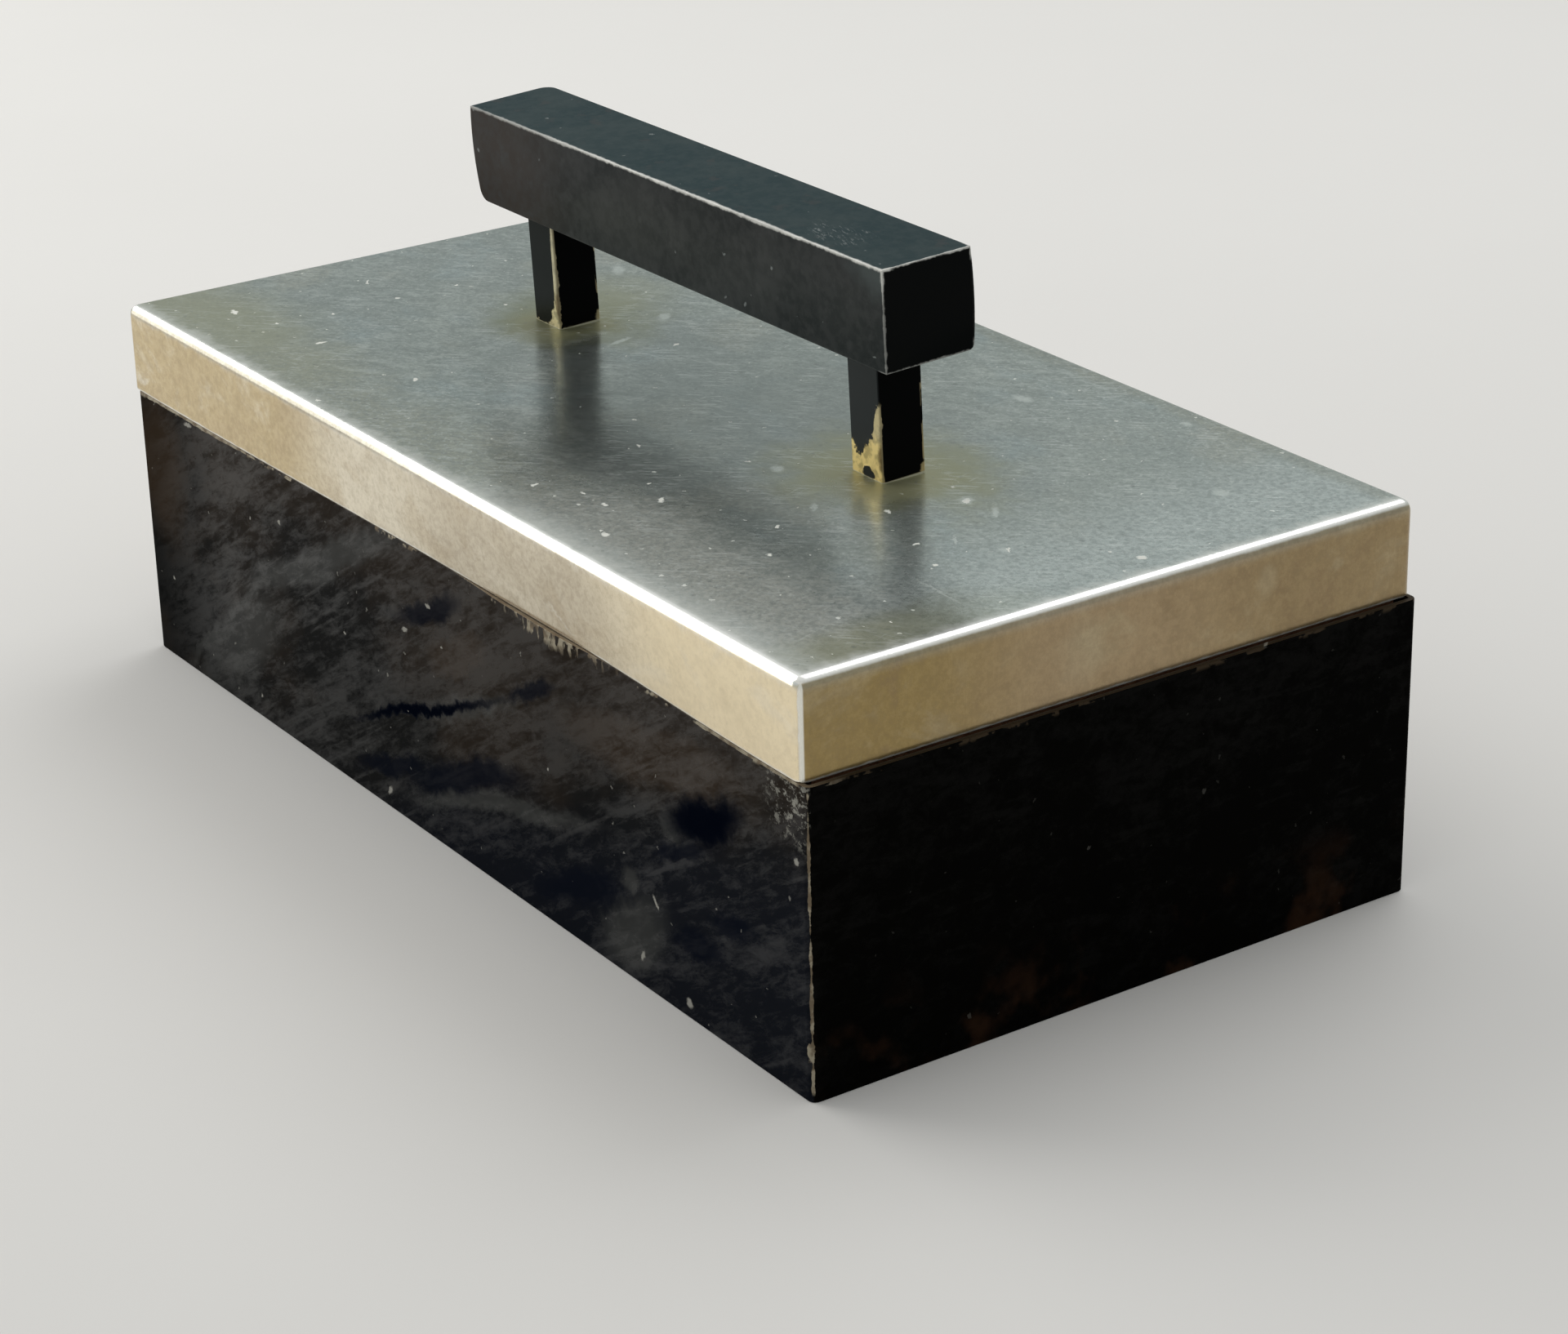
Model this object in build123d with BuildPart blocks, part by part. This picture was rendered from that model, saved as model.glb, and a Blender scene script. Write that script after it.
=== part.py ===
"""Silverware chest: a sheet-metal case with a cloth-faced wooden lining and a loose lift-off lid.

The origin is the centre of the case's underside. +X runs along the long side, +Y goes from the front
to the back, and +Z points up. Sizes are in millimetres.
"""

import os

from build123d import *

os.makedirs("parts", exist_ok=True)

# Case: one band of sheet metal, folded round and soldered
case_length = 256.0
case_width = 138.0
case_height = 60.5
sheet = 1.2
fold_radius = 1.6
sheared_edge = 0.3

# Base: a plate let in above the band's lower edge, with baize glued in the recess under it
base_thickness = 1.5
baize_thickness = 1.5
baize_margin = 0.8

# Lid: a shallow tray in the same sheet, standing on the case's front and back walls
lid_height = 19.0
lid_edge_radius = 1.5
lid_shift = -1.75
lid_mouth_round = 0.3

# Lining: thin boards that stand proud of the case and locate the lid, with some play
board = 4.0
floor_board = 3.0
end_play = 2.0
side_play = 2.0
rim_height = 6.0
rim_round = 0.8
cloth = 0.8
cloth_drop = 2.0

# Dividers: two lengthwise boards that make bays for knives, forks and spoons
divider_board = 2.4
divider_height = 44.0
housing_depth = 1.5
spoon_bay = 46.0
fork_bay = 35.2

# Handle: a square bar on two square posts
bar_length = 146.0
bar_side = 20.0
bar_edge = 0.7
bar_end_edge = 1.1
post_side = 10.0
post_height = 26.0
post_edge = 0.5
post_spacing = 116.0
handle_shift = -1.0

# Screws: from inside the lid, up through each post, into the bar
screw_radius = 2.0
screw_length = 38.0
head_radius = 3.9
head_height = 2.2
slot_width = 1.0
slot_depth = 1.1
clearance_radius = 2.15
tapped_depth = 13.0
washer_radius = 6.0
washer_thickness = 0.8

# Lining of the lid: a board with pockets over the screw heads, faced with cloth
lid_board = 3.0
lid_board_gap = 0.9
pocket_radius = 7.0

# Levels and places that follow from those sizes
floor_level = baize_thickness + base_thickness
cloth_level = floor_level + floor_board
rim_top = case_height + rim_height
cloth_top = rim_top - cloth_drop
lid_top = case_height + lid_height
lid_ceiling = lid_top - sheet
bar_bottom = lid_top + post_height
inner_length = case_length - 2 * sheet
inner_width = case_width - 2 * sheet
lining_length = inner_length - 2 * end_play
lining_width = inner_width - 2 * side_play
bay_length = lining_length - 2 * board
bay_width = lining_width - 2 * board
divider_width = divider_board + 2 * cloth
divider_top = cloth_level + divider_height
front_divider_y = -bay_width / 2 + cloth + spoon_bay + divider_width / 2
back_divider_y = front_divider_y + fork_bay + divider_width
divider_places = {"front": front_divider_y, "back": back_divider_y}
handle_x = lid_shift + handle_shift
post_places = {"left": handle_x - post_spacing / 2, "right": handle_x + post_spacing / 2}
post_points = [(x, 0) for x in post_places.values()]

# Case band: four walls in one folded strip, open above and below
with BuildPart() as case_wall:
    with BuildSketch():
        RectangleRounded(case_length, case_width, fold_radius)
        RectangleRounded(inner_length, inner_width, fold_radius - sheet, mode=Mode.SUBTRACT)
    extrude(amount=case_height)
    outside = case_wall.faces().sort_by(Axis.Z)
    chamfer(outside[-1].edges() + outside[0].edges(), length=sheared_edge)
case_wall.part.label = "case_wall"
export_step(case_wall.part, "parts/case_wall.step")

# Base plate: soldered all round inside the band
with BuildPart() as base_plate:
    with BuildSketch(Plane.XY.offset(baize_thickness)):
        RectangleRounded(inner_length, inner_width, fold_radius - sheet)
    extrude(amount=base_thickness)
base_plate.part.label = "base_plate"
export_step(base_plate.part, "parts/base_plate.step")

# Base baize: the pad that the chest rests on, level with the band's lower edge
with BuildPart() as base_baize:
    with BuildSketch():
        Rectangle(inner_length - 2 * baize_margin, inner_width - 2 * baize_margin)
    extrude(amount=baize_thickness)
base_baize.part.label = "base_baize"
export_step(base_baize.part, "parts/base_baize.step")

# Long lining boards: they run the full length of the lining, front and back
for side, direction in {"front": -1, "back": 1}.items():
    with BuildPart() as long_board:
        with BuildSketch(Plane.XY.offset(floor_level)):
            with Locations((0, direction * (lining_width - board) / 2)):
                Rectangle(lining_length, board)
        extrude(amount=rim_top - floor_level)
        long_top = long_board.faces().sort_by(Axis.Z)[-1]
        chamfer(long_top.edges().filter_by(Axis.X), length=rim_round)
    long_board.part.label = "lining_" + side
    export_step(long_board.part, "parts/lining_" + side + ".step")

# End lining boards: glued between the long ones, with a stopped housing for each divider
for side, direction in {"left": -1, "right": 1}.items():
    with BuildPart() as end_board:
        with BuildSketch(Plane.XY.offset(floor_level)):
            with Locations((direction * (lining_length - board) / 2, 0)):
                Rectangle(board, bay_width)
        extrude(amount=rim_top - floor_level)
        end_top = end_board.faces().sort_by(Axis.Z)[-1]
        chamfer(end_top.edges().filter_by(Axis.Y), length=rim_round)
        with BuildSketch(Plane.XY.offset(cloth_level)):
            with Locations([(direction * bay_length / 2, y) for y in divider_places.values()]):
                Rectangle(2 * housing_depth, divider_board)
        extrude(amount=divider_height, mode=Mode.SUBTRACT)
    end_board.part.label = "lining_" + side + "_end"
    export_step(end_board.part, "parts/lining_" + side + "_end.step")

# Floor board: lies on the base plate, inside the four lining boards
with BuildPart() as lining_floor:
    with BuildSketch(Plane.XY.offset(floor_level)):
        Rectangle(bay_length, bay_width)
    extrude(amount=floor_board)
lining_floor.part.label = "lining_floor"
export_step(lining_floor.part, "parts/lining_floor.step")

# Floor cloth: cut round the two dividers' feet
with BuildPart() as floor_cloth:
    with BuildSketch(Plane.XY.offset(cloth_level)):
        Rectangle(bay_length - 2 * cloth, bay_width - 2 * cloth)
        with Locations([(0, y) for y in divider_places.values()]):
            Rectangle(bay_length, divider_width, mode=Mode.SUBTRACT)
    extrude(amount=cloth)
floor_cloth.part.label = "floor_cloth"
export_step(floor_cloth.part, "parts/floor_cloth.step")

# Wall cloths on the long boards: they stop short of the rim, which stays bare wood
for side, direction in {"front": -1, "back": 1}.items():
    with BuildPart() as long_cloth:
        with BuildSketch(Plane.XY.offset(cloth_level)):
            with Locations((0, direction * (bay_width - cloth) / 2)):
                Rectangle(bay_length, cloth)
        extrude(amount=cloth_top - cloth_level)
    long_cloth.part.label = side + "_cloth"
    export_step(long_cloth.part, "parts/" + side + "_cloth.step")

# Wall cloths on the end boards: slotted where the dividers pass through
for side, direction in {"left": -1, "right": 1}.items():
    with BuildPart() as end_cloth:
        cloth_x = direction * (bay_length - cloth) / 2
        with BuildSketch(Plane.XY.offset(cloth_level)):
            with Locations((cloth_x, 0)):
                Rectangle(cloth, bay_width - 2 * cloth)
        extrude(amount=cloth_top - cloth_level)
        with BuildSketch(Plane.XY.offset(cloth_level)):
            with Locations([(cloth_x, y) for y in divider_places.values()]):
                Rectangle(cloth, divider_width)
        extrude(amount=divider_height + cloth, mode=Mode.SUBTRACT)
    end_cloth.part.label = side + "_cloth"
    export_step(end_cloth.part, "parts/" + side + "_cloth.step")

# Dividers: thin boards with their ends held in the end boards' housings
for side, y in divider_places.items():
    with BuildPart() as divider:
        with BuildSketch(Plane.XY.offset(cloth_level)):
            with Locations((0, y)):
                Rectangle(bay_length + 2 * housing_depth, divider_board)
        extrude(amount=divider_height)
    divider.part.label = "divider_" + side
    export_step(divider.part, "parts/divider_" + side + ".step")

# Divider cloths: folded over each divider's top edge and glued down both sides
for side, y in divider_places.items():
    with BuildPart() as divider_cloth:
        with BuildSketch(Plane.YZ.offset(-bay_length / 2)):
            with Locations((y, cloth_level + (divider_height + cloth) / 2)):
                Rectangle(divider_width, divider_height + cloth)
            with Locations((y, cloth_level + divider_height / 2)):
                Rectangle(divider_board, divider_height, mode=Mode.SUBTRACT)
        extrude(amount=bay_length)
    divider_cloth.part.label = "divider_" + side + "_cloth"
    export_step(divider_cloth.part, "parts/divider_" + side + "_cloth.step")

# Lid shell: a tray folded down on four sides, its corners soldered and its edges dressed round
with BuildPart() as lid_shell:
    with BuildSketch(Plane.XY.offset(case_height)):
        with Locations((lid_shift, 0)):
            RectangleRounded(case_length, case_width, fold_radius)
    extrude(amount=lid_height)
    fillet(lid_shell.faces().sort_by(Axis.Z)[-1].edges(), radius=lid_edge_radius)
    with BuildSketch(Plane.XY.offset(case_height)):
        with Locations((lid_shift, 0)):
            RectangleRounded(inner_length, inner_width, fold_radius - sheet)
    extrude(amount=lid_height - sheet, mode=Mode.SUBTRACT)
    chamfer(lid_shell.faces().sort_by(Axis.Z)[0].edges(), length=lid_mouth_round)
    with Locations([(x, y, lid_top) for x, y in post_points]):
        Hole(radius=clearance_radius, depth=2 * sheet)
lid_shell.part.label = "lid_shell"
export_step(lid_shell.part, "parts/lid_shell.step")

# Lid lining board: glued under the lid, with a pocket over each screw head
with BuildPart() as lid_lining_board:
    with BuildSketch(Plane.XY.offset(lid_ceiling - lid_board)):
        with Locations((lid_shift, 0)):
            Rectangle(inner_length - 2 * lid_board_gap, inner_width - 2 * lid_board_gap)
        with Locations(post_points):
            Circle(pocket_radius, mode=Mode.SUBTRACT)
    extrude(amount=lid_board)
lid_lining_board.part.label = "lid_lining_board"
export_step(lid_lining_board.part, "parts/lid_lining_board.step")

# Lid lining cloth: covers the board and hides the screws
with BuildPart() as lid_lining_cloth:
    with BuildSketch(Plane.XY.offset(lid_ceiling - lid_board - cloth)):
        with Locations((lid_shift, 0)):
            Rectangle(inner_length - 2 * lid_board_gap, inner_width - 2 * lid_board_gap)
    extrude(amount=cloth)
lid_lining_cloth.part.label = "lid_lining_cloth"
export_step(lid_lining_cloth.part, "parts/lid_lining_cloth.step")

# Handle posts: square brass spacers, bored through for the screws
for side, x in post_places.items():
    with BuildPart() as post:
        with BuildSketch(Plane.XY.offset(lid_top)):
            with Locations((x, 0)):
                Rectangle(post_side, post_side)
        extrude(amount=post_height)
        fillet(post.edges().filter_by(Axis.Z), radius=post_edge)
        with Locations((x, 0, bar_bottom)):
            Hole(radius=clearance_radius)
    post.part.label = "handle_post_" + side
    export_step(post.part, "parts/handle_post_" + side + ".step")

# Handle bar: square bar stock with its edges eased and two blind tapped holes underneath
with BuildPart() as handle_bar:
    with BuildSketch(Plane.XY.offset(bar_bottom)):
        with Locations((handle_x, 0)):
            Rectangle(bar_length, bar_side)
    extrude(amount=bar_side)
    end_edges = handle_bar.edges().group_by(Axis.X)
    fillet(end_edges[0] + end_edges[-1], radius=bar_end_edge)
    fillet(handle_bar.edges().filter_by(Axis.X), radius=bar_edge)
    with BuildSketch(Plane.XY.offset(bar_bottom)):
        with Locations(post_points):
            Circle(screw_radius)
    extrude(amount=tapped_depth, mode=Mode.SUBTRACT)
handle_bar.part.label = "handle_bar"
export_step(handle_bar.part, "parts/handle_bar.step")

# Screws: slotted cheese heads below the lid, shanks up through the posts into the bar
head_top = lid_ceiling - washer_thickness
with BuildPart() as handle_screws:
    with BuildSketch(Plane.XY.offset(head_top - head_height)):
        with Locations(post_points):
            Circle(head_radius)
    extrude(amount=head_height)
    with BuildSketch(Plane.XY.offset(head_top)):
        with Locations(post_points):
            Circle(screw_radius)
    extrude(amount=screw_length)
    with BuildSketch(Plane.XY.offset(head_top - head_height)):
        with Locations(post_points):
            Rectangle(2 * head_radius, slot_width)
    extrude(amount=slot_depth, mode=Mode.SUBTRACT)
handle_screws.part.label = "handle_screws"
export_step(handle_screws.part, "parts/handle_screws.step")

# Washers: they spread each screw head's load over the thin lid
with BuildPart() as handle_washers:
    with BuildSketch(Plane.XY.offset(head_top)):
        with Locations(post_points):
            Circle(washer_radius)
            Circle(clearance_radius, mode=Mode.SUBTRACT)
    extrude(amount=washer_thickness)
handle_washers.part.label = "handle_washers"
export_step(handle_washers.part, "parts/handle_washers.step")
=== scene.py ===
import math
from math import radians

import bpy
from mathutils import Matrix, Vector


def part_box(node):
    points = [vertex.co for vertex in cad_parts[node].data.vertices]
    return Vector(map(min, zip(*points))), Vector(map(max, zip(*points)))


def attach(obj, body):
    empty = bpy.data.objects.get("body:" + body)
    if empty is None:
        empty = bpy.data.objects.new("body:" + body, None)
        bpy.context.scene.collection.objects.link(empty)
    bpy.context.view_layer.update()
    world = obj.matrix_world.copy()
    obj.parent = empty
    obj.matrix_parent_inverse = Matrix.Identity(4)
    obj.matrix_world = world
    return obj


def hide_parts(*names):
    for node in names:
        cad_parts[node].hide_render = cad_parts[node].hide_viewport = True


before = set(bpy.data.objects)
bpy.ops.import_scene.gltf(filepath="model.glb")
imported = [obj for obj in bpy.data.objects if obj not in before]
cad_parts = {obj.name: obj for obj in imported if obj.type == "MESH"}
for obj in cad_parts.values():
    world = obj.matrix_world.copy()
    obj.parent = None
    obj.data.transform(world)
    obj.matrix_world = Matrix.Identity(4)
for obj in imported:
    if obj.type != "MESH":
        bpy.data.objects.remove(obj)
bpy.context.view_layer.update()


# ------------------------------------------------------------
# Base baize: a pad of green wool baize, glued into the recess under the base plate.
# The chest rests on it, so its nap is flattened and its cut edge is a little rounded.
# ------------------------------------------------------------

hair = 1e-5  # how near a point lies to a face that it is on, in metres


def clear_selection():
    """Leaves nothing selected, in object mode."""
    if bpy.context.object and bpy.context.object.mode != "OBJECT":
        bpy.ops.object.mode_set(mode="OBJECT")
    bpy.ops.object.select_all(action="DESELECT")


def start_block(name, low, high):
    """Adds a rectangular blank between two corners, with its place in its mesh."""
    clear_selection()
    middle = [(a + b) / 2 for a, b in zip(low, high)]
    size = [b - a for a, b in zip(low, high)]
    bpy.ops.mesh.primitive_cube_add(size=1, location=middle, scale=size)
    bpy.ops.object.transform_apply(location=True, rotation=True, scale=True)
    piece = bpy.context.object
    piece.name = name
    piece.data.name = name
    return piece


def pick_edges(piece, chosen):
    """Selects the edges whose two ends pass the test, and goes into edit mode."""
    bpy.ops.object.mode_set(mode="EDIT")
    bpy.ops.mesh.select_mode(type="EDGE")
    bpy.ops.mesh.select_all(action="DESELECT")
    bpy.ops.object.mode_set(mode="OBJECT")
    points = piece.data.vertices
    for edge in piece.data.edges:
        start, end = (points[i].co for i in edge.vertices)
        edge.select = chosen(start, end)
    bpy.ops.object.mode_set(mode="EDIT")


def pick_faces(piece, chosen):
    """Selects the faces whose centre and normal pass the test, and goes into edit mode."""
    bpy.ops.object.mode_set(mode="EDIT")
    bpy.ops.mesh.select_mode(type="FACE")
    bpy.ops.mesh.select_all(action="DESELECT")
    bpy.ops.object.mode_set(mode="OBJECT")
    for face in piece.data.polygons:
        face.select = chosen(face.center, face.normal)
    bpy.ops.object.mode_set(mode="EDIT")


def round_picked(width, segments=3):
    """Rounds the picked edges and leaves edit mode."""
    bpy.ops.mesh.bevel(offset=width, segments=segments, affect="EDGES")
    bpy.ops.object.mode_set(mode="OBJECT")


def apply_modifier(piece, kind, **settings):
    """Adds a modifier, sets it and applies it."""
    clear_selection()
    piece.select_set(True)
    bpy.context.view_layer.objects.active = piece
    bpy.ops.object.modifier_add(type=kind)
    added = piece.modifiers[-1]
    for setting, value in settings.items():
        setattr(added, setting, value)
    bpy.ops.object.modifier_apply(modifier=added.name)


def smooth_finish(piece, angle=35):
    """Smooths the rounded edges and keeps the flat faces flat."""
    clear_selection()
    piece.select_set(True)
    bpy.context.view_layer.objects.active = piece
    bpy.ops.object.shade_smooth_by_angle(angle=radians(angle))
    apply_modifier(piece, "WEIGHTED_NORMAL", keep_sharp=True)


def along_z(start, end):
    """True for an edge that stands upright."""
    return abs(start.z - end.z) > 10 * (abs(start.x - end.x) + abs(start.y - end.y))


def fit_out(piece, finish, body, *nodes):
    """Puts a finished piece in place of its nodes: gives it its finish, puts it on their body and hides
    them.
    """
    piece.data.materials.append(finish)
    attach(piece, body)
    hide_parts(*nodes)


class Wire:
    """One output of a shader node. Reckoning with wires adds a Math node for each step."""

    def __init__(self, socket):
        self.socket = socket
        self.tree = socket.id_data

    def __add__(self, other):
        return calc("ADD", self, other)

    def __radd__(self, other):
        return calc("ADD", other, self)

    def __sub__(self, other):
        return calc("SUBTRACT", self, other)

    def __rsub__(self, other):
        return calc("SUBTRACT", other, self)

    def __mul__(self, other):
        return calc("MULTIPLY", self, other)

    def __truediv__(self, other):
        return calc("DIVIDE", self, other)

    def __abs__(self):
        return calc("ABSOLUTE", self)


def set_socket(socket, value):
    """Gives an input a wire or a constant. A colour is given without its alpha."""
    if isinstance(value, Wire):
        value.tree.links.new(value.socket, socket)
    elif socket.type == "RGBA":
        socket.default_value = (*value, 1)
    else:
        socket.default_value = value


def add_node(tree, kind, inputs=None, **settings):
    """Adds a shader node and sets its inputs."""
    made = tree.nodes.new("ShaderNode" + kind)
    for name, value in settings.items():
        setattr(made, name, value)
    for key, value in (inputs or {}).items():
        set_socket(made.inputs[key], value)
    return made


def wire(tree, kind, inputs=None, output=0, **settings):
    """Adds a shader node and gives back one of its outputs."""
    return Wire(add_node(tree, kind, inputs, **settings).outputs[output])


def calc(operation, *values):
    """One step of arithmetic between masks and numbers."""
    tree = next(value.tree for value in values if isinstance(value, Wire))
    return wire(tree, "Math", dict(enumerate(values)), operation=operation)


def scaled(value, factor, offset):
    """The value times the factor, plus the offset."""
    return calc("MULTIPLY_ADD", value, factor, offset)


def move(operation, *places):
    """One step of arithmetic between places."""
    return wire(places[0].tree, "VectorMath", dict(enumerate(places)), operation=operation)


def length_of(place):
    """How far a place is from the origin."""
    return wire(place.tree, "VectorMath", {0: place}, 1, operation="LENGTH")


def parts_of(place):
    """The three numbers of a place, or of a normal."""
    return [Wire(part) for part in add_node(place.tree, "SeparateXYZ", {0: place}).outputs]


def facing_of(place):
    """The three numbers of the surface's normal, in the tree that the place belongs to."""
    return parts_of(wire(place.tree, "NewGeometry", output="Normal"))


def place_at(x, y, z=0.0):
    """A place from its three numbers, of which one or more are wires."""
    tree = next(value.tree for value in (x, y, z) if isinstance(value, Wire))
    return wire(tree, "CombineXYZ", {0: x, 1: y, 2: z})


def fade(value, start, end):
    """A mask that goes smoothly from 0 at start to 1 at end."""
    sockets = {"Value": value, "From Min": start, "From Max": end}
    return wire(value.tree, "MapRange", sockets, interpolation_type="SMOOTHSTEP")


def noise(place, scale=1.0, detail=3.0, roughness=0.55, distortion=0.0, output="Fac"):
    """Cloudy variation, from about 0.3 to 0.7."""
    sockets = {"Vector": place, "Scale": scale, "Detail": detail, "Roughness": roughness,
               "Distortion": distortion}
    return wire(place.tree, "TexNoise", sockets, output)


def turn_round(place, turn, centre=(0, 0, 0)):
    """Turns a pattern about a centre."""
    sockets = {"Vector": place, "Center": centre, "Rotation": turn}
    return wire(place.tree, "VectorRotate", sockets, rotation_type="EULER_XYZ")


def stretch(place, scale, turn=(0, 0, 0)):
    """Turns a pattern on the piece, and then stretches it."""
    return move("MULTIPLY", turn_round(place, turn), scale)


def blend_colours(mask, under, over):
    """The colour under the mask where it is 0, and over it where it is 1."""
    return wire(mask.tree, "Mix", {0: mask, 6: under, 7: over}, 2, data_type="RGBA")


def blend_values(mask, under, over):
    """The value under the mask where it is 0, and over it where it is 1."""
    return wire(mask.tree, "Mix", {0: mask, 2: under, 3: over}, data_type="FLOAT")


def lay_over(tone, *layers):
    """Lays colours over a tone, each through its mask."""
    for mask, colour in layers:
        tone = blend_colours(mask, tone, colour)
    return tone


def relief(height, depth):
    """A bump of the given depth in metres."""
    return wire(height.tree, "Bump", {"Height": height, "Distance": depth})


def new_finish(name, **constants):
    """An empty material with one Principled BSDF, and its constant sockets set."""
    finish = bpy.data.materials.new(name)
    finish.use_nodes = True
    finish.node_tree.nodes.clear()
    shader = add_node(finish.node_tree, "BsdfPrincipled")
    feed(shader, **constants)
    add_node(finish.node_tree, "OutputMaterial", {"Surface": Wire(shader.outputs[0])})
    return finish, shader, wire(finish.node_tree, "TexCoord", output="Object")


def feed(node, **values):
    """Sets a node's inputs by their names, with _ for a space."""
    for name, value in values.items():
        set_socket(node.inputs[name.replace("_", " ")], value)


def new_effect(name, outputs, **inputs):
    """A node group for an effect that several finishes share. Its first input is the place."""
    effect = bpy.data.node_groups.new(name, "ShaderNodeTree")
    for socket, value in {"Place": (0, 0, 0), **inputs}.items():
        kind = "Float" if isinstance(value, float) else {3: "Vector", 4: "Color"}[len(value)]
        made = effect.interface.new_socket(name=socket.replace("_", " "), in_out="INPUT",
                                           socket_type="NodeSocket" + kind)
        made.default_value = value
    for socket, kind in outputs.items():
        effect.interface.new_socket(name=socket, in_out="OUTPUT", socket_type="NodeSocket" + kind)
    entry = effect.nodes.new("NodeGroupInput").outputs
    given = [Wire(socket) for socket in entry if socket.name]
    return effect, given, effect.nodes.new("NodeGroupOutput").inputs


def use_effect(effect, place, **inputs):
    """Places a shared effect in a material, with that material's own values."""
    made = add_node(place.tree, "Group", node_tree=effect)
    feed(made, Place=place, **inputs)
    return [Wire(socket) for socket in made.outputs]


nap_effect, (spot, colour, worn_colour, fibre_scale), result = new_effect(
    "napped wool", {"Colour": "Color", "Height": "Float"},
    Colour=(0.1, 0.1, 0.1, 1), Worn_colour=(0.2, 0.2, 0.2, 1), Fibre_scale=2600.0)
fibres = noise(spot, fibre_scale, detail=4.0, roughness=0.7, distortion=1.2)
pressed = fade(noise(spot, 45.0, detail=2.0), 0.35, 0.68)
mottle = fade(fibres, 0.3, 0.7) * 0.6 + pressed * 0.4
set_socket(result[0], blend_colours(mottle, colour, worn_colour))
set_socket(result[1], fibres)


def woollen_cloth(name, colour, worn_colour, fibre_depth):
    """Cloth with a raised nap: mottled, dull, and faintly light at a grazing angle."""
    finish, shader, place = new_finish(name, Roughness=0.95, Sheen_Weight=0.35, Sheen_Roughness=0.5,
                                       Specular_IOR_Level=0.15)
    nap_tone, nap_height = use_effect(nap_effect, place, Colour=colour, Worn_colour=worn_colour)
    feed(shader, Base_Color=nap_tone, Normal=relief(nap_height, fibre_depth))
    return finish


baize_low, baize_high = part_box("base_baize")
baize_round = 0.0005
baize_pad = start_block("baize_pad", baize_low, baize_high)
pick_edges(baize_pad, lambda start, end: max(start.z, end.z) < baize_high.z * 0.5 or along_z(start, end))
round_picked(baize_round)
smooth_finish(baize_pad, 60)
green_baize = woollen_cloth("green baize", (0.022, 0.055, 0.028), (0.045, 0.1, 0.05), 0.0003)
fit_out(baize_pad, green_baize, "case", "base_baize")


# ------------------------------------------------------------
# Base plate: a flat sheet of brass let in above the lower edge of the case and soldered there.
# It is as it came from the rolls, with dull oxide and faint rolling lines.
# ------------------------------------------------------------


def refinish(node, finish):
    """Gives a node that is shown as it comes its own finish."""
    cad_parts[node].data.materials.clear()
    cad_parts[node].data.materials.append(finish)


raw_brass, shader, place = new_finish("rolled brass", Metallic=1.0)
rolling = noise(stretch(place, (12, 900, 900)), detail=4.0)
oxide = fade(noise(place, 28.0, detail=5.0), 0.36, 0.64)
feed(shader, Base_Color=blend_colours(oxide, (0.62, 0.45, 0.2), (0.34, 0.22, 0.09)),
     Roughness=blend_values(oxide, 0.3, 0.5), Normal=relief(rolling, 0.00003))
refinish("base_plate", raw_brass)
refinish("handle_washers", raw_brass)


# ------------------------------------------------------------
# Case wall: a band of brass sheet, folded round at the corners, soldered, and lacquered black.
# Use has pressed the middle of the long front wall in at its top, where the lacquer has flaked.
# ------------------------------------------------------------


def cut_across(axis, spots):
    """Cuts the piece across an axis at the given spots. It is in edit mode before and after."""
    normal = Vector([float(number == axis) for number in range(3)])
    for spot in spots:
        bpy.ops.mesh.select_all(action="SELECT")
        bpy.ops.mesh.bisect(plane_co=normal * spot, plane_no=normal)


def even_steps(low, high, count):
    """The spots that part a length into equal shares."""
    return [low + (high - low) * step / count for step in range(1, count)]


sheet_gauge = 0.0012
rim_ease = 0.00025
case_fold = 0.0016
press_stops = ((-0.122, 0.0), (0.014, 0.00175), (0.046, 0.00175), (0.124, 0.0))
press_power = 1.7
ledge_stops = ((0.004, 0.0), (0.030, 0.0009), (0.046, 0.0009), (0.064, 0.0))


def smooth_between(stops, spot):
    """A smooth curve through given stops, level at both ends."""
    for (start, low), (end, high) in zip(stops, stops[1:]):
        if spot <= end:
            part = min(max((spot - start) / (end - start), 0), 1)
            return low + (high - low) * part * part * (3 - 2 * part)
    return stops[-1][1]


def thicken(piece, thickness):
    """Gives a sheet its thickness, inwards from its outer face."""
    apply_modifier(piece, "SOLIDIFY", thickness=thickness, offset=-1, use_even_offset=True)


def ease_rims(piece):
    """Takes the sharpness off the cut edges of a thick sheet."""
    apply_modifier(piece, "BEVEL", width=rim_ease, segments=2, limit_method="ANGLE",
                   angle_limit=radians(60))


def slice_long_sides(low, high, long_cuts, upright_cuts):
    """Cuts the long sides across, so that they can be bent."""
    bpy.ops.object.mode_set(mode="EDIT")
    cut_across(0, even_steps(low.x, high.x, long_cuts))
    cut_across(2, even_steps(low.z, high.z, upright_cuts))
    bpy.ops.object.mode_set(mode="OBJECT")


case_low, case_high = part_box("case_wall")
case_wall = start_block("case_band", case_low, case_high)
pick_edges(case_wall, along_z)
round_picked(case_fold, 5)
pick_faces(case_wall, lambda centre, normal: abs(normal.z) > 0.9)
bpy.ops.mesh.delete(type="FACE")
slice_long_sides(case_low, case_high, 48, 6)
for point in case_wall.data.vertices:
    if point.co.y < case_low.y + hair:
        press = smooth_between(press_stops, point.co.x) - smooth_between(ledge_stops, point.co.x)
        point.co.y += press * (point.co.z / case_high.z) ** press_power
thicken(case_wall, sheet_gauge)
ease_rims(case_wall)
smooth_finish(case_wall)

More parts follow.
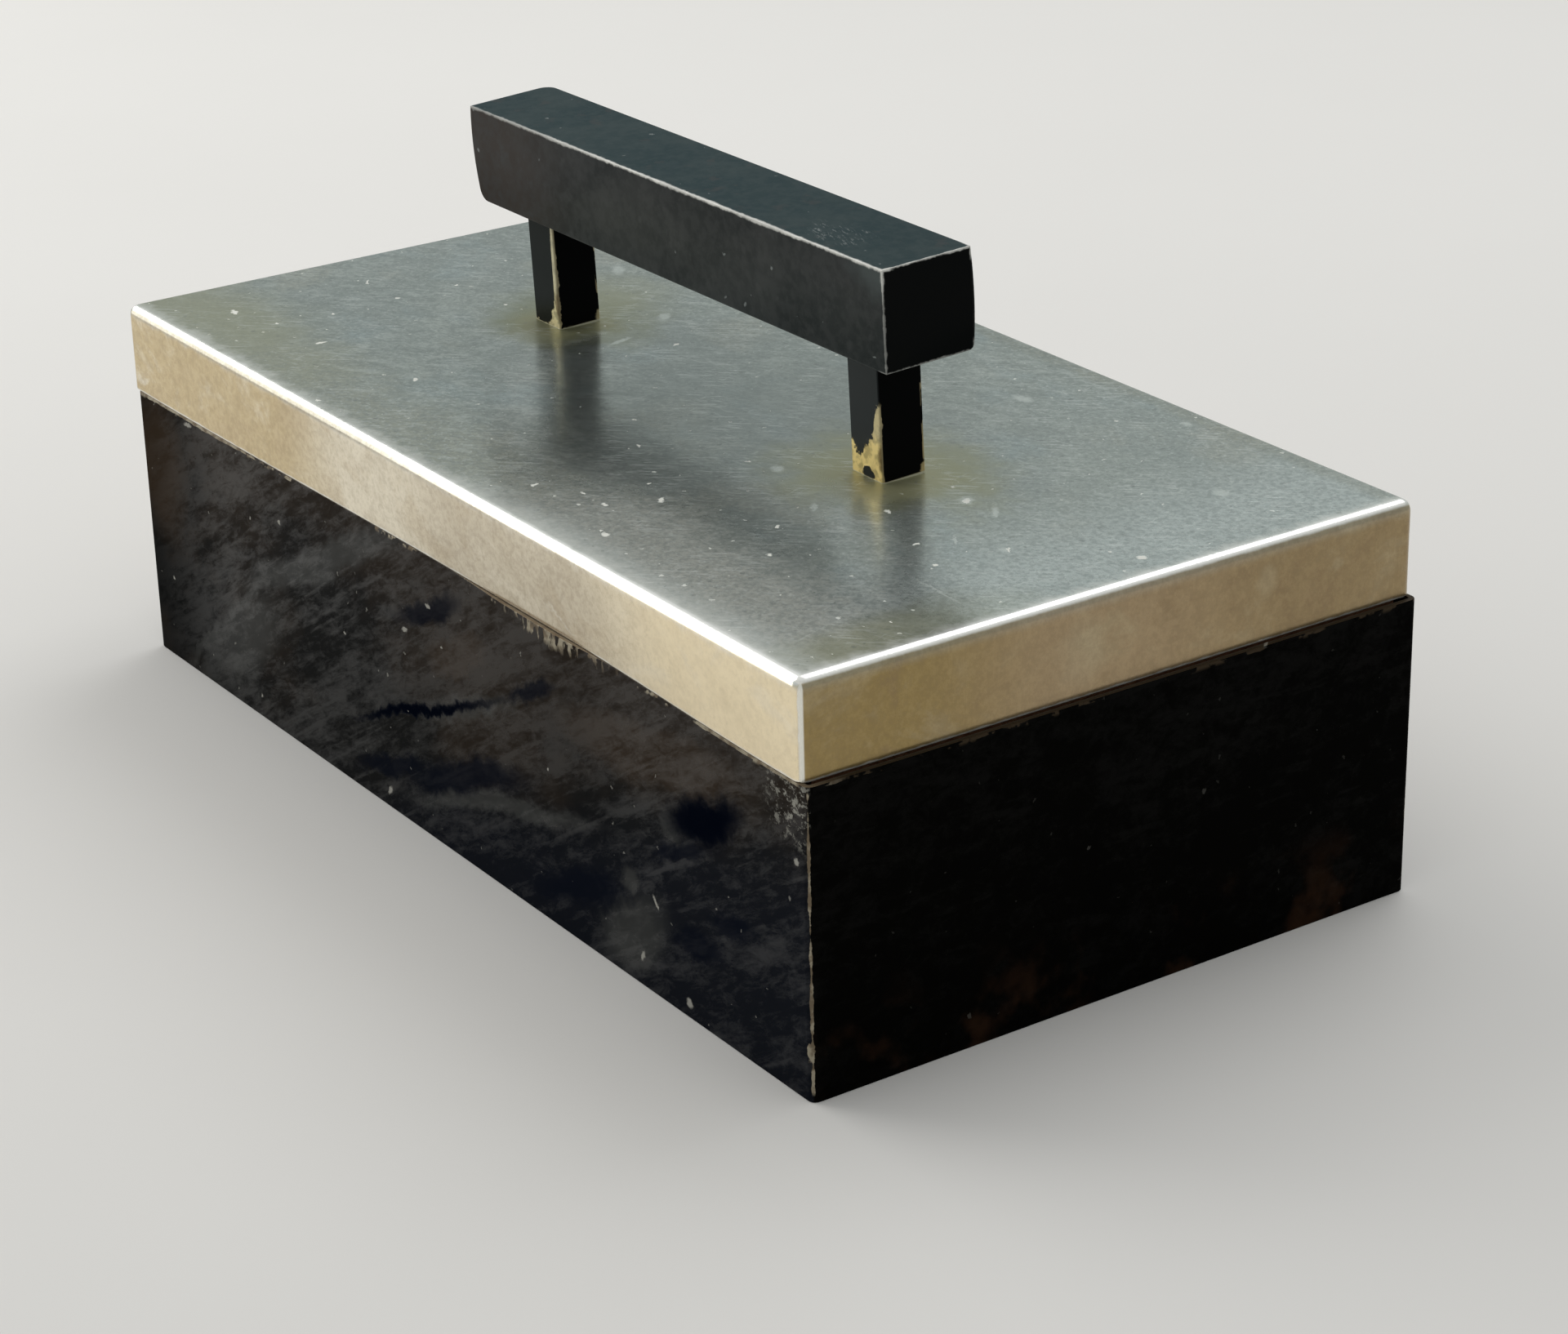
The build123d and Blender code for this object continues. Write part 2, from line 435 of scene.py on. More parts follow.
box_edge_effect, (spot, centre, half_size), result = new_effect(
    "distance to the nearest edge of a box", {"Distance": "Float"}, Centre=(0, 0, 0), Half_size=(1, 1, 1))
from_centre = move("SUBTRACT", spot, centre)
inside = move("SUBTRACT", half_size, move("ABSOLUTE", from_centre))
depth_x, depth_y, depth_z = parts_of(inside)
lesser = calc("MINIMUM", depth_x, depth_y)
greater = calc("MAXIMUM", depth_x, depth_y)
set_socket(result[0], calc("MAXIMUM", lesser, calc("MINIMUM", greater, depth_z)))


def edge_distance(place, low, high):
    """How far a place on a piece is from the piece's nearest edge."""
    return use_effect(box_edge_effect, place, Centre=(low + high) / 2, Half_size=(high - low) / 2)[0]


wear_effect, given, result = new_effect(
    "worn edge", {"Mask": "Float"}, Distance=0.0, Width=0.001, Softness=0.0002, Raggedness=0.001,
    Chip_scale=900.0, Patch_scale=60.0)
spot, distance, width, softness, raggedness, chip_scale, patch_scale = given
chips = noise(spot, chip_scale, detail=3.0, roughness=0.6)
patches = noise(spot, patch_scale, detail=2.0)
unevenness = chips + patches - 1.0
moved = scaled(unevenness, raggedness, distance)
set_socket(result[0], fade(moved, width + softness, width - softness))


def worn_edge(place, distance, width, softness, raggedness, chip_scale, patch_scale=60.0):
    """Where a finish has gone from an edge, less here and more there."""
    return use_effect(wear_effect, place, Distance=distance, Width=width, Softness=softness,
                      Raggedness=raggedness, Chip_scale=chip_scale, Patch_scale=patch_scale)[0]


patch_effect, (spot, centre, reach, softness, raggedness, grain_scale), result = new_effect(
    "ragged patch", {"Mask": "Float"}, Centre=(0, 0, 0), Reach=(1, 1, 1), Softness=0.3, Raggedness=0.5,
    Grain_scale=300.0)
distance = length_of(move("DIVIDE", move("SUBTRACT", spot, centre), reach))
grain = noise(spot, grain_scale, detail=4.0) - 0.5
moved = scaled(grain, raggedness * 3.0, distance)
set_socket(result[0], fade(moved, 1.0 + softness, 1.0 - softness))


def patch(place, centre, reach, softness=0.3, raggedness=0.5, grain=300.0):
    """A stain or chip with a ragged outline, round a centre."""
    return use_effect(patch_effect, place, Centre=centre, Reach=reach, Softness=softness,
                      Raggedness=raggedness, Grain_scale=grain)[0]


def any_of(*masks):
    """The strongest of several masks."""
    strongest = masks[0]
    for mask in masks[1:]:
        strongest = calc("MAXIMUM", strongest, mask)
    return strongest


smear_effect, (spot, centre, reach, turn, softness), result = new_effect(
    "smear", {"Mask": "Float"}, Centre=(0, 0, 0), Reach=(1, 1, 1), Turn=(0, 0, 0), Softness=0.5)
turned = turn_round(spot, turn, centre)
distance = length_of(move("DIVIDE", move("SUBTRACT", turned, centre), reach))
set_socket(result[0], fade(distance, 1.0 + softness, 1.0 - softness))


def smears_at(place, face, marks, softness=0.5):
    """Marks on a face. A face is its axis, its place along that and how deep its marks reach.

    A mark is its place, its half length and half width across the face, in mm, and its turn.
    """
    axis, plane, depth = face
    masks = []
    for *middle, half_length, half_width, turn in marks:
        centre = [spot / 1000 for spot in middle]
        reach = [half_length / 1000, half_width / 1000]
        turns = [0, 0]
        for values, value in ((centre, plane), (reach, depth), (turns, radians(turn))):
            values.insert(axis, value)
        masks.append(use_effect(smear_effect, place, Centre=centre, Reach=reach, Turn=turns,
                                Softness=softness)[0])
    return any_of(*masks)


def ruffle_place(place, scale, amount, detail=4.0):
    """The same place, moved about by a noise, so that what is drawn there gets a ragged outline."""
    shift = noise(place, scale, detail, 0.65, output="Color")
    ruffled = move("MULTIPLY_ADD", shift, (amount, amount, amount), place)
    return move("SUBTRACT", ruffled, (amount / 2, amount / 2, amount / 2))


speck_effect, (spot, spacing_scale, size, share), result = new_effect(
    "dust specks", {"Mask": "Float"}, Spacing_scale=150.0, Size=0.12, Share=0.3)
ruffle = noise(spot, 1100.0, 2.0, 0.5, output="Color")
ruffled = move("MULTIPLY_ADD", ruffle, (0.0016, 0.0016, 0.0016), spot)
cells = add_node(speck_effect, "TexVoronoi", {"Vector": ruffled, "Scale": spacing_scale},
                 voronoi_dimensions="2D").outputs
chance = add_node(speck_effect, "SeparateColor", {0: Wire(cells["Color"])}).outputs
kept = calc("LESS_THAN", Wire(chance[0]), share)
reach = size * (Wire(chance[1]) + 0.35)
dots = fade(Wire(cells["Distance"]), reach, reach * 0.6)
set_socket(result[0], dots * kept)


def specks_on(place, spacing_scale, size, share):
    """Small dots of dust, in a share of the cells of a loose grid."""
    return use_effect(speck_effect, place, Spacing_scale=spacing_scale, Size=size, Share=share)[0]


scratch_effect, (spot, turn, length_scale, fineness, cut), result = new_effect(
    "fine scratches", {"Mask": "Float"}, Turn=(0, 0, 0), Length_scale=22.0, Fineness=1500.0, Cut=0.62)
squeeze = place_at(length_scale, fineness, fineness)
lines = noise(move("MULTIPLY", turn_round(spot, turn), squeeze), detail=1.0)
patchy = fade(noise(spot, 75.0, detail=2.0), 0.42, 0.62)
drawn = fade(lines, cut, cut + 0.06)
set_socket(result[0], drawn * patchy)


def scratches_on(place, turn, length_scale, fineness, cut):
    """Fine parallel scratches, thicker in some places than in others."""
    return use_effect(scratch_effect, place, Turn=(0, 0, turn), Length_scale=length_scale,
                      Fineness=fineness, Cut=cut)[0]


black_lacquer, shader, place = new_finish("black lacquer", Coat_Roughness=0.07, Coat_IOR=1.5,
                                          Specular_IOR_Level=0.0)
x_place, y_place, z_place = parts_of(place)
facing_x, facing_y, facing_z = facing_of(place)
on_shaded_end_wall = fade(abs(facing_x), 0.6, 0.8)
edge = edge_distance(place, case_low, case_high)
corner_wear = worn_edge(place, edge, 0.00061, 0.00005, 0.0008, 420.0)
above_foot = fade(z_place, 0.0012, 0.0022)
corner_wear *= above_foot
on_right_rim = fade(x_place, case_high.x - 0.003, case_high.x - 0.002)
on_right_rim *= fade(z_place, case_high.z - 0.0016, case_high.z - 0.0009)
broken_rim = fade(noise(place, 170.0, detail=4.0), 0.55, 0.61)
corner_wear *= blend_values(on_right_rim, 1.0, broken_rim)
bare_top = fade(facing_z, 0.4, 0.8) * above_foot
on_front = fade(facing_y, -0.4, -0.7)
streaks = noise(stretch(place, (1, 1, 0.35)), 520.0, detail=4.0)
flaking = patch(place, (0.045, case_low.y, case_high.z), (0.017, 0.01, 0.0026), 0.35, 0.35, 500.0)
flaking *= fade(streaks, 0.54, 0.59)
nicks = fade(z_place, case_high.z - 0.0012, case_high.z - 0.0004)
nicks *= fade(noise(place, 240.0, detail=4.0), 0.58, 0.63)
scuff_grain = noise(stretch(place, (420, 420, 520), turn=(0, radians(-30), 0)), detail=6.0,
                    roughness=0.75)
scuffs = patch(place, (0.125, case_low.y, 0.056), (0.0078, 0.006, 0.0062), 0.6, 0.5, 260.0)
scuffs *= fade(scuff_grain, 0.515, 0.59) * on_front
corner_chip = patch(place, (0.1272, case_low.y, 0.01), (0.0006, 0.001, 0.002), 0.15, 0.8, 600.0)
chipped = any_of(corner_wear, bare_top, flaking, nicks, corner_chip)

slant = (0, radians(27), 0)
broad_smears = noise(stretch(place, (13, 30, 42), turn=slant), detail=5.0, roughness=0.62,
                     distortion=0.6)
mottling = noise(stretch(place, (55, 150, 250), turn=slant), detail=6.0, roughness=0.72,
                 distortion=0.3)
rubs = fade(noise(stretch(place, (18, 60, 430), turn=(0, radians(32), 0)), detail=3.0), 0.56, 0.7)
polish_line = scaled(x_place, 0.3, 0.012) - z_place
lower_right = fade(scaled(broad_smears, 0.03, polish_line), 0.004, 0.03)
smear_level = scaled(mottling, 1.25, scaled(lower_right, -0.17, broad_smears * 1.05))
smear_level = scaled(rubs, 0.2, smear_level)
fine_marks = noise(stretch(place, (170, 300, 430), turn=slant), detail=6.0, roughness=0.78,
                   distortion=0.6)
smear_level = scaled(fine_marks - 0.5, 1.1, smear_level)
smears = fade(smear_level, 0.9, 1.4)
front_wall = (1, case_low.y, 0.02)
drifting = ruffle_place(ruffle_place(place, 42.0, 0.008, detail=2.0), 330.0, 0.0045, detail=5.0)
pale_smears = smears_at(
    drifting, front_wall,
    ((-92, 17.5, 24, 2.1, 38), (-46, 46.5, 36, 3.6, 26), (-85, 15, 20, 6, 36), (22, 16.5, 32, 2.1, 16),
     (10, 34, 19, 2.4, 22), (83, 36.5, 2.6, 3.2, 0), (70, 20, 2.5, 2.8, 0), (71, 10, 12, 5.8, 35)))
bare_of_wax = smears_at(
    drifting, front_wall,
    ((-4, 28.5, 32, 1.2, 23), (36, 46, 8.5, 1.8, 24), (-4, 49, 13, 2.6, 24), (95.5, 42.5, 12.5, 3.6, 24),
     (86, 32, 9, 1.7, 30), (9, 18, 24, 3.6, 19), (93, 16.5, 8, 2.6, 12), (104, 24.5, 7.5, 2.2, 8),
     (52, 11, 17, 3.6, 17), (-20, 10, 15, 2.2, 20)),
    softness=0.45)
deep_black = smears_at(drifting, front_wall, ((95, 42.5, 12.5, 4.4, 24), (-8, 26.8, 26, 0.9, 23)),
                       softness=0.5)
brown_smears = smears_at(
    drifting, front_wall,
    ((-119, 46, 12, 16, 0), (78, 49, 36, 6.6, 9), (8, 44, 15, 4.6, 25), (12, 34.5, 16, 3, 22)))
brown_cloud = noise(stretch(place, (11, 20, 22), turn=slant), detail=5.0, roughness=0.6)
brown_patch = fade(scaled(z_place, 2.6, brown_cloud), 0.53, 0.7)
browned = brown_patch * 0.5 * (1.0 - lower_right)
browned = any_of(browned, brown_smears * 0.9)
end_stain = fade(noise(place, 55.0, detail=4.0), 0.5, 0.66) * fade(z_place, 0.022, 0.002)
on_wall = place_at(x_place + y_place, z_place)
wall_spots = smears_at(
    ruffle_place(place, 900.0, 0.0016), front_wall,
    ((-3.5, 50, 0.9, 0.5, 0), (-13, 42, 1, 0.5, 10), (73.5, 6.2, 1.2, 0.5, 60), (78.5, 19, 1.3, 0.4, -50),
     (-22, 3.8, 1.2, 0.6, 45), (-104, 59, 1.6, 0.5, 5), (124.5, 45.5, 0.7, 0.7, 0), (89, 3, 0.9, 0.9, 30)),
    softness=0.35)
specks = any_of(wall_spots, specks_on(on_wall, 75.0, 0.045, 0.11),
                specks_on(on_wall, 260.0, 0.07, 0.08) * 0.5)
specks *= blend_values(on_shaded_end_wall, 1.0, 0.12)
lacquer = blend_colours(lower_right, (0.0045, 0.0047, 0.0047), (0.003, 0.0042, 0.0076))
# Painted shade: the end walls get a near-black lacquer of their own, darker than the front's; the brown
# near their feet is a stain.
shaded_lacquer_on_end = blend_colours(end_stain, (0.001, 0.0009, 0.0006), (0.02, 0.0095, 0.005))
lacquer = lay_over(
    lacquer,
    (browned, (0.03, 0.02, 0.0125)),
    (pale_smears * 0.75, (0.026, 0.027, 0.0255)),
    (bare_of_wax * 0.85, (0.0042, 0.0056, 0.0105)),
    (deep_black, (0.0012, 0.0022, 0.0056)),
    (on_shaded_end_wall, shaded_lacquer_on_end),
    (scuffs * 0.9, (0.3, 0.29, 0.255)))
flaked = blend_colours(fade(noise(place, 380.0, detail=3.0), 0.42, 0.6), (0.34, 0.3, 0.225),
                       (0.16, 0.125, 0.085))
flaked = lay_over(
    flaked,
    (bare_top * 0.8, (0.13, 0.095, 0.06)),
    (on_right_rim * fade(y_place, -0.0695, -0.06), (0.04, 0.029, 0.018)))
bared = blend_colours(chipped, lacquer, flaked)
dusty = blend_colours(specks, bared, (0.3, 0.29, 0.26))
hazy_shine = blend_values(smears, 0.1, 0.6) * blend_values(fade(x_place, -0.128, -0.08), 0.1, 0.95)
near_middle = fade(x_place, -0.03, 0.004) * fade(x_place, 0.078, 0.05)
hazy_shine *= blend_values(near_middle, 1.0, 0.8)
hazy_shine = scaled(pale_smears, 0.16, hazy_shine)
hazy_shine *= blend_values(bare_of_wax, 1.0, 0.22)
hazy_shine *= blend_values(deep_black, 1.0, 0.05)
# Painted shade: the end walls get far less coat shine than the front.
shine = blend_values(on_shaded_end_wall, hazy_shine, blend_values(smears, 0.03, 0.09))
unmarked = 1.0 - any_of(chipped, scuffs, specks)
feed(shader, Base_Color=dusty, Metallic=chipped * 0.5, Roughness=blend_values(chipped, 0.5, 0.42),
     Coat_Weight=shine * unmarked, Normal=relief(1.0 - chipped, 0.00006))
fit_out(case_wall, black_lacquer, "case", "case_wall")


# ------------------------------------------------------------
# Lining boards: thin cedar boards glued up as a frame on the base plate, long ones full length.
# Their tops stand proud of the case and are rounded and rubbed by the lid.
# ------------------------------------------------------------


def edges_on(*faces, along=None):
    """A test for the edges that lie on all the given faces of a blank and, if asked, run along an axis.

    A face is its axis, the way it faces, 1 or -1, and its place along the axis.
    """
    def chosen(start, end):
        on_all = all(min(way * start[axis], way * end[axis]) > way * place - hair
                     for axis, way, place in faces)
        return on_all and (along is None or abs(start[along] - end[along]) > 0.05)
    return chosen


cedar, shader, place = new_finish("waxed cedar", Specular_IOR_Level=0.35)
along = stretch(place, (9, 120, 120), turn=(0.2, 0.015, 0.01))
rings = noise(along, detail=5.0, roughness=0.65, distortion=1.4)
pores = noise(stretch(place, (120, 2400, 2400)), detail=2.0)
tone = blend_colours(fade(rings, 0.3, 0.7), (0.3, 0.135, 0.065), (0.165, 0.066, 0.032))
tone = blend_colours(fade(pores, 0.55, 0.7) * 0.5, tone, (0.09, 0.035, 0.018))
feed(shader, Base_Color=tone, Roughness=blend_values(fade(rings, 0.3, 0.7), 0.5, 0.62),
     Normal=relief(pores, 0.00008))

rim_radius = 0.0009
for side in ("front", "back", "left_end", "right_end"):
    board_low, board_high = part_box("lining_" + side)
    lining_board = start_block("cedar_" + side, board_low, board_high)
    long_way = 1 if side.endswith("end") else 0
    pick_edges(lining_board, edges_on((2, 1, board_high.z), along=long_way))
    round_picked(rim_radius, 4)
    smooth_finish(lining_board)
    fit_out(lining_board, cedar, "case", "lining_" + side)

# Floor board: the same cedar, hidden under cloth, so it stays as cut.
refinish("lining_floor", cedar)


# ------------------------------------------------------------
# Cloth facings: brown tarnish-proof flannel glued to the floor and to the four lining boards.
# Each was cut to its board, and its cut edges are soft.
# ------------------------------------------------------------

flannel = woollen_cloth("brown flannel", (0.075, 0.036, 0.02), (0.15, 0.082, 0.05), 0.00035)
cut_softness = 0.00025
for side, rests_on in {"front": "lining_front", "back": "lining_back",
                       "left": "lining_left_end", "right": "lining_right_end"}.items():
    cloth_low, cloth_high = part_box(side + "_cloth")
    facing_cloth = start_block("flannel_" + side, cloth_low, cloth_high)
    pick_edges(facing_cloth, edges_on((2, 1, cloth_high.z)))
    round_picked(cut_softness)
    smooth_finish(facing_cloth, 60)
    fit_out(facing_cloth, flannel, "case", side + "_cloth")


# ------------------------------------------------------------
# Dividers: two thin cedar boards housed in the end boards, each under a folded strip of flannel
# that is glued down both sides. The board's top edge is rounded so that the cloth lies over it.
# ------------------------------------------------------------

nap_thickness = 0.0008
for side in ("front", "back"):
    board_low, board_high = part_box("divider_" + side)
    divider = start_block("cedar_divider_" + side, board_low, board_high)
    pick_edges(divider, edges_on((2, 1, board_high.z), along=0))
    round_picked((board_high.y - board_low.y) * 0.49, 5)
    smooth_finish(divider)
    fit_out(divider, cedar, "case", "divider_" + side)

    cloth_low, cloth_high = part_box("divider_" + side + "_cloth")
    half_fold = (cloth_high.y - cloth_low.y) / 2
    over_cloth = start_block("flannel_divider_" + side, cloth_low, cloth_high)
    pick_edges(over_cloth, edges_on((2, 1, cloth_high.z), along=0))
    round_picked(half_fold * 0.98, 8)
    pick_faces(over_cloth, lambda centre, normal: abs(normal.x) > 0.9 or normal.z < -0.9)
    bpy.ops.mesh.delete(type="FACE")
    bpy.ops.object.mode_set(mode="OBJECT")
    thicken(over_cloth, nap_thickness)
    smooth_finish(over_cloth, 50)
    fit_out(over_cloth, flannel, "case", "divider_" + side + "_cloth")


# ------------------------------------------------------------
# Floor cloths: one strip of the same flannel laid and glued in each of the three bays.
# They lie a little uneven, as glued cloth does.
# ------------------------------------------------------------

def lay_cloth(name, low, high, lift):
    """A strip of cloth with soft cut edges and a slightly uneven top."""
    strip = start_block(name, low, high)
    pick_edges(strip, edges_on((2, 1, high.z)))
    round_picked(cut_softness)
    bpy.ops.object.mode_set(mode="EDIT")
    cut_across(0, even_steps(low.x, high.x, 60))
    cut_across(1, even_steps(low.y, high.y, 16))
    bpy.ops.object.mode_set(mode="OBJECT")
    top = strip.vertex_groups.new(name="top")
    near = cut_softness * 2
    raised = [point.index for point in strip.data.vertices if point.co.z > high.z - hair
              and low.x + near < point.co.x < high.x - near and low.y + near < point.co.y < high.y - near]
    top.add(raised, 1.0, "REPLACE")
    unevenness = bpy.data.textures.new(name + " unevenness", "CLOUDS")
    unevenness.noise_scale = 0.03
    apply_modifier(strip, "DISPLACE", texture=unevenness, strength=lift, mid_level=0.75, direction="Z",
                   vertex_group="top")
    smooth_finish(strip, 60)
    return strip


floor_low, floor_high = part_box("floor_cloth")
bay_sides = (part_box("front_cloth")[1].y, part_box("divider_front_cloth")[0].y,
             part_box("divider_front_cloth")[1].y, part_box("divider_back_cloth")[0].y,
             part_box("divider_back_cloth")[1].y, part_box("back_cloth")[0].y)
for number, bay in enumerate(("spoon", "fork", "knife")):
    strip_low = Vector((floor_low.x, bay_sides[2 * number], floor_low.z))
    strip_high = Vector((floor_high.x, bay_sides[2 * number + 1], floor_high.z))
    strip = lay_cloth("flannel_floor_" + bay, strip_low, strip_high, 0.0004)
    fit_out(strip, flannel, "case", "floor_cloth")


# ------------------------------------------------------------
# Lid shell: a shallow tray of nickel-silver sheet, folded down on four sides, soldered at the
# corners and dressed round. Polish stays on its edges, and tarnish has crept out from the posts.
# The pale edge lines are also painted highlights, and the tones of the top and skirts are partly
# painted reflections of the surroundings.
# ------------------------------------------------------------

lid_low, lid_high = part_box("lid_shell")
lid_edge = 0.0021
lid_corner = 0.0022
lid_shell = start_block("lid_tray", lid_low, lid_high)
pick_edges(lid_shell, along_z)
round_picked(lid_corner, 6)
pick_faces(lid_shell, lambda centre, normal: normal.z < -0.9)
bpy.ops.mesh.delete(type="FACE")
pick_edges(lid_shell, edges_on((2, 1, lid_high.z)))
round_picked(lid_edge, 6)
slice_long_sides(lid_low, lid_high - Vector((0, 0, lid_edge)), 48, 4)
bend_top = lid_high.z - lid_edge
for point in lid_shell.data.vertices:
    if point.co.y < lid_low.y + hair and point.co.z < bend_top:
        down = (bend_top - point.co.z) / (bend_top - lid_low.z)
        point.co.y += smooth_between(press_stops, point.co.x) * down ** 1.2
thicken(lid_shell, sheet_gauge)
ease_rims(lid_shell)
smooth_finish(lid_shell)

aged_nickel, shader, place = new_finish("aged nickel silver")
x_place, y_place, z_place = parts_of(place)
facing_x, facing_y, facing_z = facing_of(place)
facing_up = fade(facing_z, 0.5, 0.85)
on_right = fade(facing_x, 0.45, 0.85)
half_length, half_width = (lid_high.x - lid_low.x) / 2, (lid_high.y - lid_low.y) / 2
from_middle = abs(x_place - (lid_high.x + lid_low.x) / 2)
from_ends = half_length - from_middle
from_sides = half_width - abs(y_place)
waver = scaled(noise(place, 260.0, detail=4.0), 0.0022, -0.0011)
from_handled_edges = calc("MINIMUM", y_place - lid_low.y, lid_high.x - x_place)
inward = from_handled_edges + waver
from_corner = scaled(waver, 0.5, calc("MAXIMUM", from_ends, from_sides))
downward = scaled(waver, 0.3, lid_high.z - z_place)
upward = scaled(waver, 0.4, z_place - lid_low.z)
rim_reach = blend_values(on_right, blend_values(fade(x_place, -0.05, 0.06), 0.0006, 0.0012), 0.0007)
line_reach = blend_values(fade(x_place, 0.04, 0.1), 0.0023, 0.003)
# Pale lines along the top edges, down the skirt folds and at the skirts' foot: partly polish, partly
# painted highlight of the rounded edges.
top_line = fade(inward, line_reach, line_reach - 0.0013) * facing_up
off_top = 1.0 - facing_up
side_line = fade(downward, rim_reach + 0.0004, rim_reach - 0.0003)
side_line *= off_top
# Painted glow: a pale haze fading down the front skirt below the edge highlight.
painted_glow_under_edge = fade(scaled(waver, 1.5, downward), 0.003, 0.0004) * (off_top - on_right)
# Painted highlight: a near-white line down the rounded corners, standing for the sun's reflection there.
corner_painted_highlight = fade(from_corner, 0.00105, 0.0007) * off_top
corner_front = fade(from_ends, 0.0011, 0.0007) * fade(facing_y, -0.45, -0.6)
corner_painted_highlight = any_of(corner_painted_highlight, corner_front * 0.8)
# Painted shade: a darker band just under the front fold, toning down the lamp's highlight there.
painted_shade_under_fold = fade(downward, 0.0001, 0.0005) * fade(downward, 0.0024, 0.0014)
painted_shade_under_fold *= fade(x_place, 0.045, -0.03)
foot_line = fade(upward, 0.0006, 0.0002) * 0.7
side_line *= 1.0 - painted_shade_under_fold * 0.8
polish_and_painted_highlight = any_of(top_line, side_line, corner_painted_highlight, foot_line)
rim_haze = fade(scaled(waver, 1.6, inward), 0.0052, 0.0018) * facing_up
front_haze = fade(scaled(waver, 2.5, y_place), -0.0575, -0.0655) * (fade(x_place, -0.005, 0.03) * facing_up)
clouds = fade(noise(stretch(place, (1, 1.8, 1.8), turn=(0, 0, 0.35)), 16.0, detail=4.0), 0.34, 0.66)
fine_clouds = fade(noise(place, 120.0, detail=6.0, roughness=0.72), 0.36, 0.66)
outer_halos, inner_halos = [], []
for side, outer_reach in (("left", (0.018, 0.015, 0.01)), ("right", (0.021, 0.018, 0.01))):
    post_low, post_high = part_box("handle_post_" + side)
    foot = ((post_low.x + post_high.x) / 2, (post_low.y + post_high.y) / 2 + 0.001, lid_high.z)
    nearer = (foot[0] + 0.0025, foot[1] - 0.003, foot[2])
    outer_halos.append(patch(place, foot, outer_reach, 0.5, 0.45, 75.0))
    inner_halos.append(patch(place, nearer, (0.01, 0.01, 0.01), 0.45, 0.35, 130.0))
outer_halo = any_of(*outer_halos) * facing_up
inner_halo = any_of(*inner_halos) * facing_up
corner_stain = any_of(patch(place, (0.12, -0.049, lid_high.z), (0.009, 0.025, 0.01), 0.6, 0.5, 60.0),
                      patch(place, (0.122, -0.052, lid_high.z), (0.005, 0.018, 0.01), 0.6, 0.6, 120.0),
                      patch(place, (-0.112, -0.058, lid_high.z), (0.038, 0.014, 0.01), 0.8, 0.6, 60.0),
                      patch(place, (-0.072, 0.016, lid_high.z), (0.016, 0.01, 0.01), 0.8, 0.6, 60.0))
corner_stain *= facing_up
on_top = place_at(x_place, y_place)
flat_top = (2, 0, 1)
past_middle = fade(x_place, 0.0, 0.045)
dull_line = scaled(waver, 9.0, scaled(past_middle, -0.006, y_place))
dull_front = fade(dull_line, -0.038, -0.06) * facing_up
wiped = smears_at(ruffle_place(place, 260.0, 0.003), (2, lid_high.z, 0.01),
                  ((82, -24.5, 21, 4.6, 35), (-25, -30, 30, 4.6, 33)), softness=0.9)
back_dull = fade(scaled(waver, 1.5, y_place), 0.062, 0.0655) * facing_up
wiping = scratches_on(on_top, -0.85, 150.0, 1100.0, 0.57)
crossing = scratches_on(on_top, -0.3, 240.0, 1300.0, 0.6)
long_scratches = scratches_on(on_top, 1.25, 150.0, 1400.0, 0.66)
scratched = any_of(wiping, crossing * 0.7, long_scratches) * facing_up
big_specks = specks_on(on_top, 62.0, 0.026, 0.2)
small_specks = specks_on(on_top, 150.0, 0.044, 0.34)
ragged_place = ruffle_place(on_top, 1000.0, 0.002)
dried_spots = smears_at(
    ragged_place, flat_top,
    ((50, -59, 1, 0.6, 20), (37, -51, 0.9, 0.45, 25), (29.5, -51, 0.6, 0.3, 10), (20, -56, 0.9, 0.5, 60),
     (88.3, -17, 0.8, 0.4, 65), (72, -11.5, 1, 0.4, 10), (76.5, -41, 0.7, 0.5, 0),
     (41.5, -41.5, 1.1, 0.4, 30), (66, -32, 0.7, 0.3, 40), (118, 11, 0.9, 0.8, 0), (-80, -48, 0.4, 1.3, 5),
     (-110, -53, 1.6, 0.5, 10), (-111, -20, 1.3, 0.25, 25), (-47, -44, 0.8, 0.4, 30),
     (-33, 10, 0.9, 0.4, 60), (14, -29, 0.8, 0.25, 20), (76.4, 3.3, 1.1, 0.6, 35), (69, 5.5, 0.4, 0.4, 0),
     (100.6, -5.5, 1.1, 0.25, 35), (98.5, -20.4, 0.4, 0.4, 0)),
    softness=0.35)
faint_spots = smears_at(
    ragged_place, flat_top,
    ((-50, 18, 2.2, 1.2, 40), (69, 62, 1.4, 0.9, 0), (-84, 28, 3, 1.3, 30), (38, 46, 2.4, 1.4, 0),
     (102, 43, 1.8, 1.4, 0), (41, -15, 1.6, 1.2, 20), (100, -6, 1, 0.8, 0), (108, -27.2, 7, 0.3, 2),
     (-42, 2, 0.7, 3, -15), (76.4, 3.3, 1.8, 1.2, 35), (84.4, 3.8, 2.4, 0.6, 35),
     (90.8, -10.2, 2.4, 0.3, 35), (62, -21.1, 2, 0.6, 35)),
    softness=0.5)
pits = specks_on(move("ADD", on_top, (0.31, 0.17, 0)), 330.0, 0.15, 0.3)
grain = noise(place, 820.0, detail=4.0, roughness=0.75)
fine_dust = specks_on(move("ADD", on_top, (0.77, 0.41, 0)), 420.0, 0.13, 0.45)
top_tone_with_painted_light = blend_colours(clouds, (0.445, 0.492, 0.447), (0.365, 0.414, 0.388))
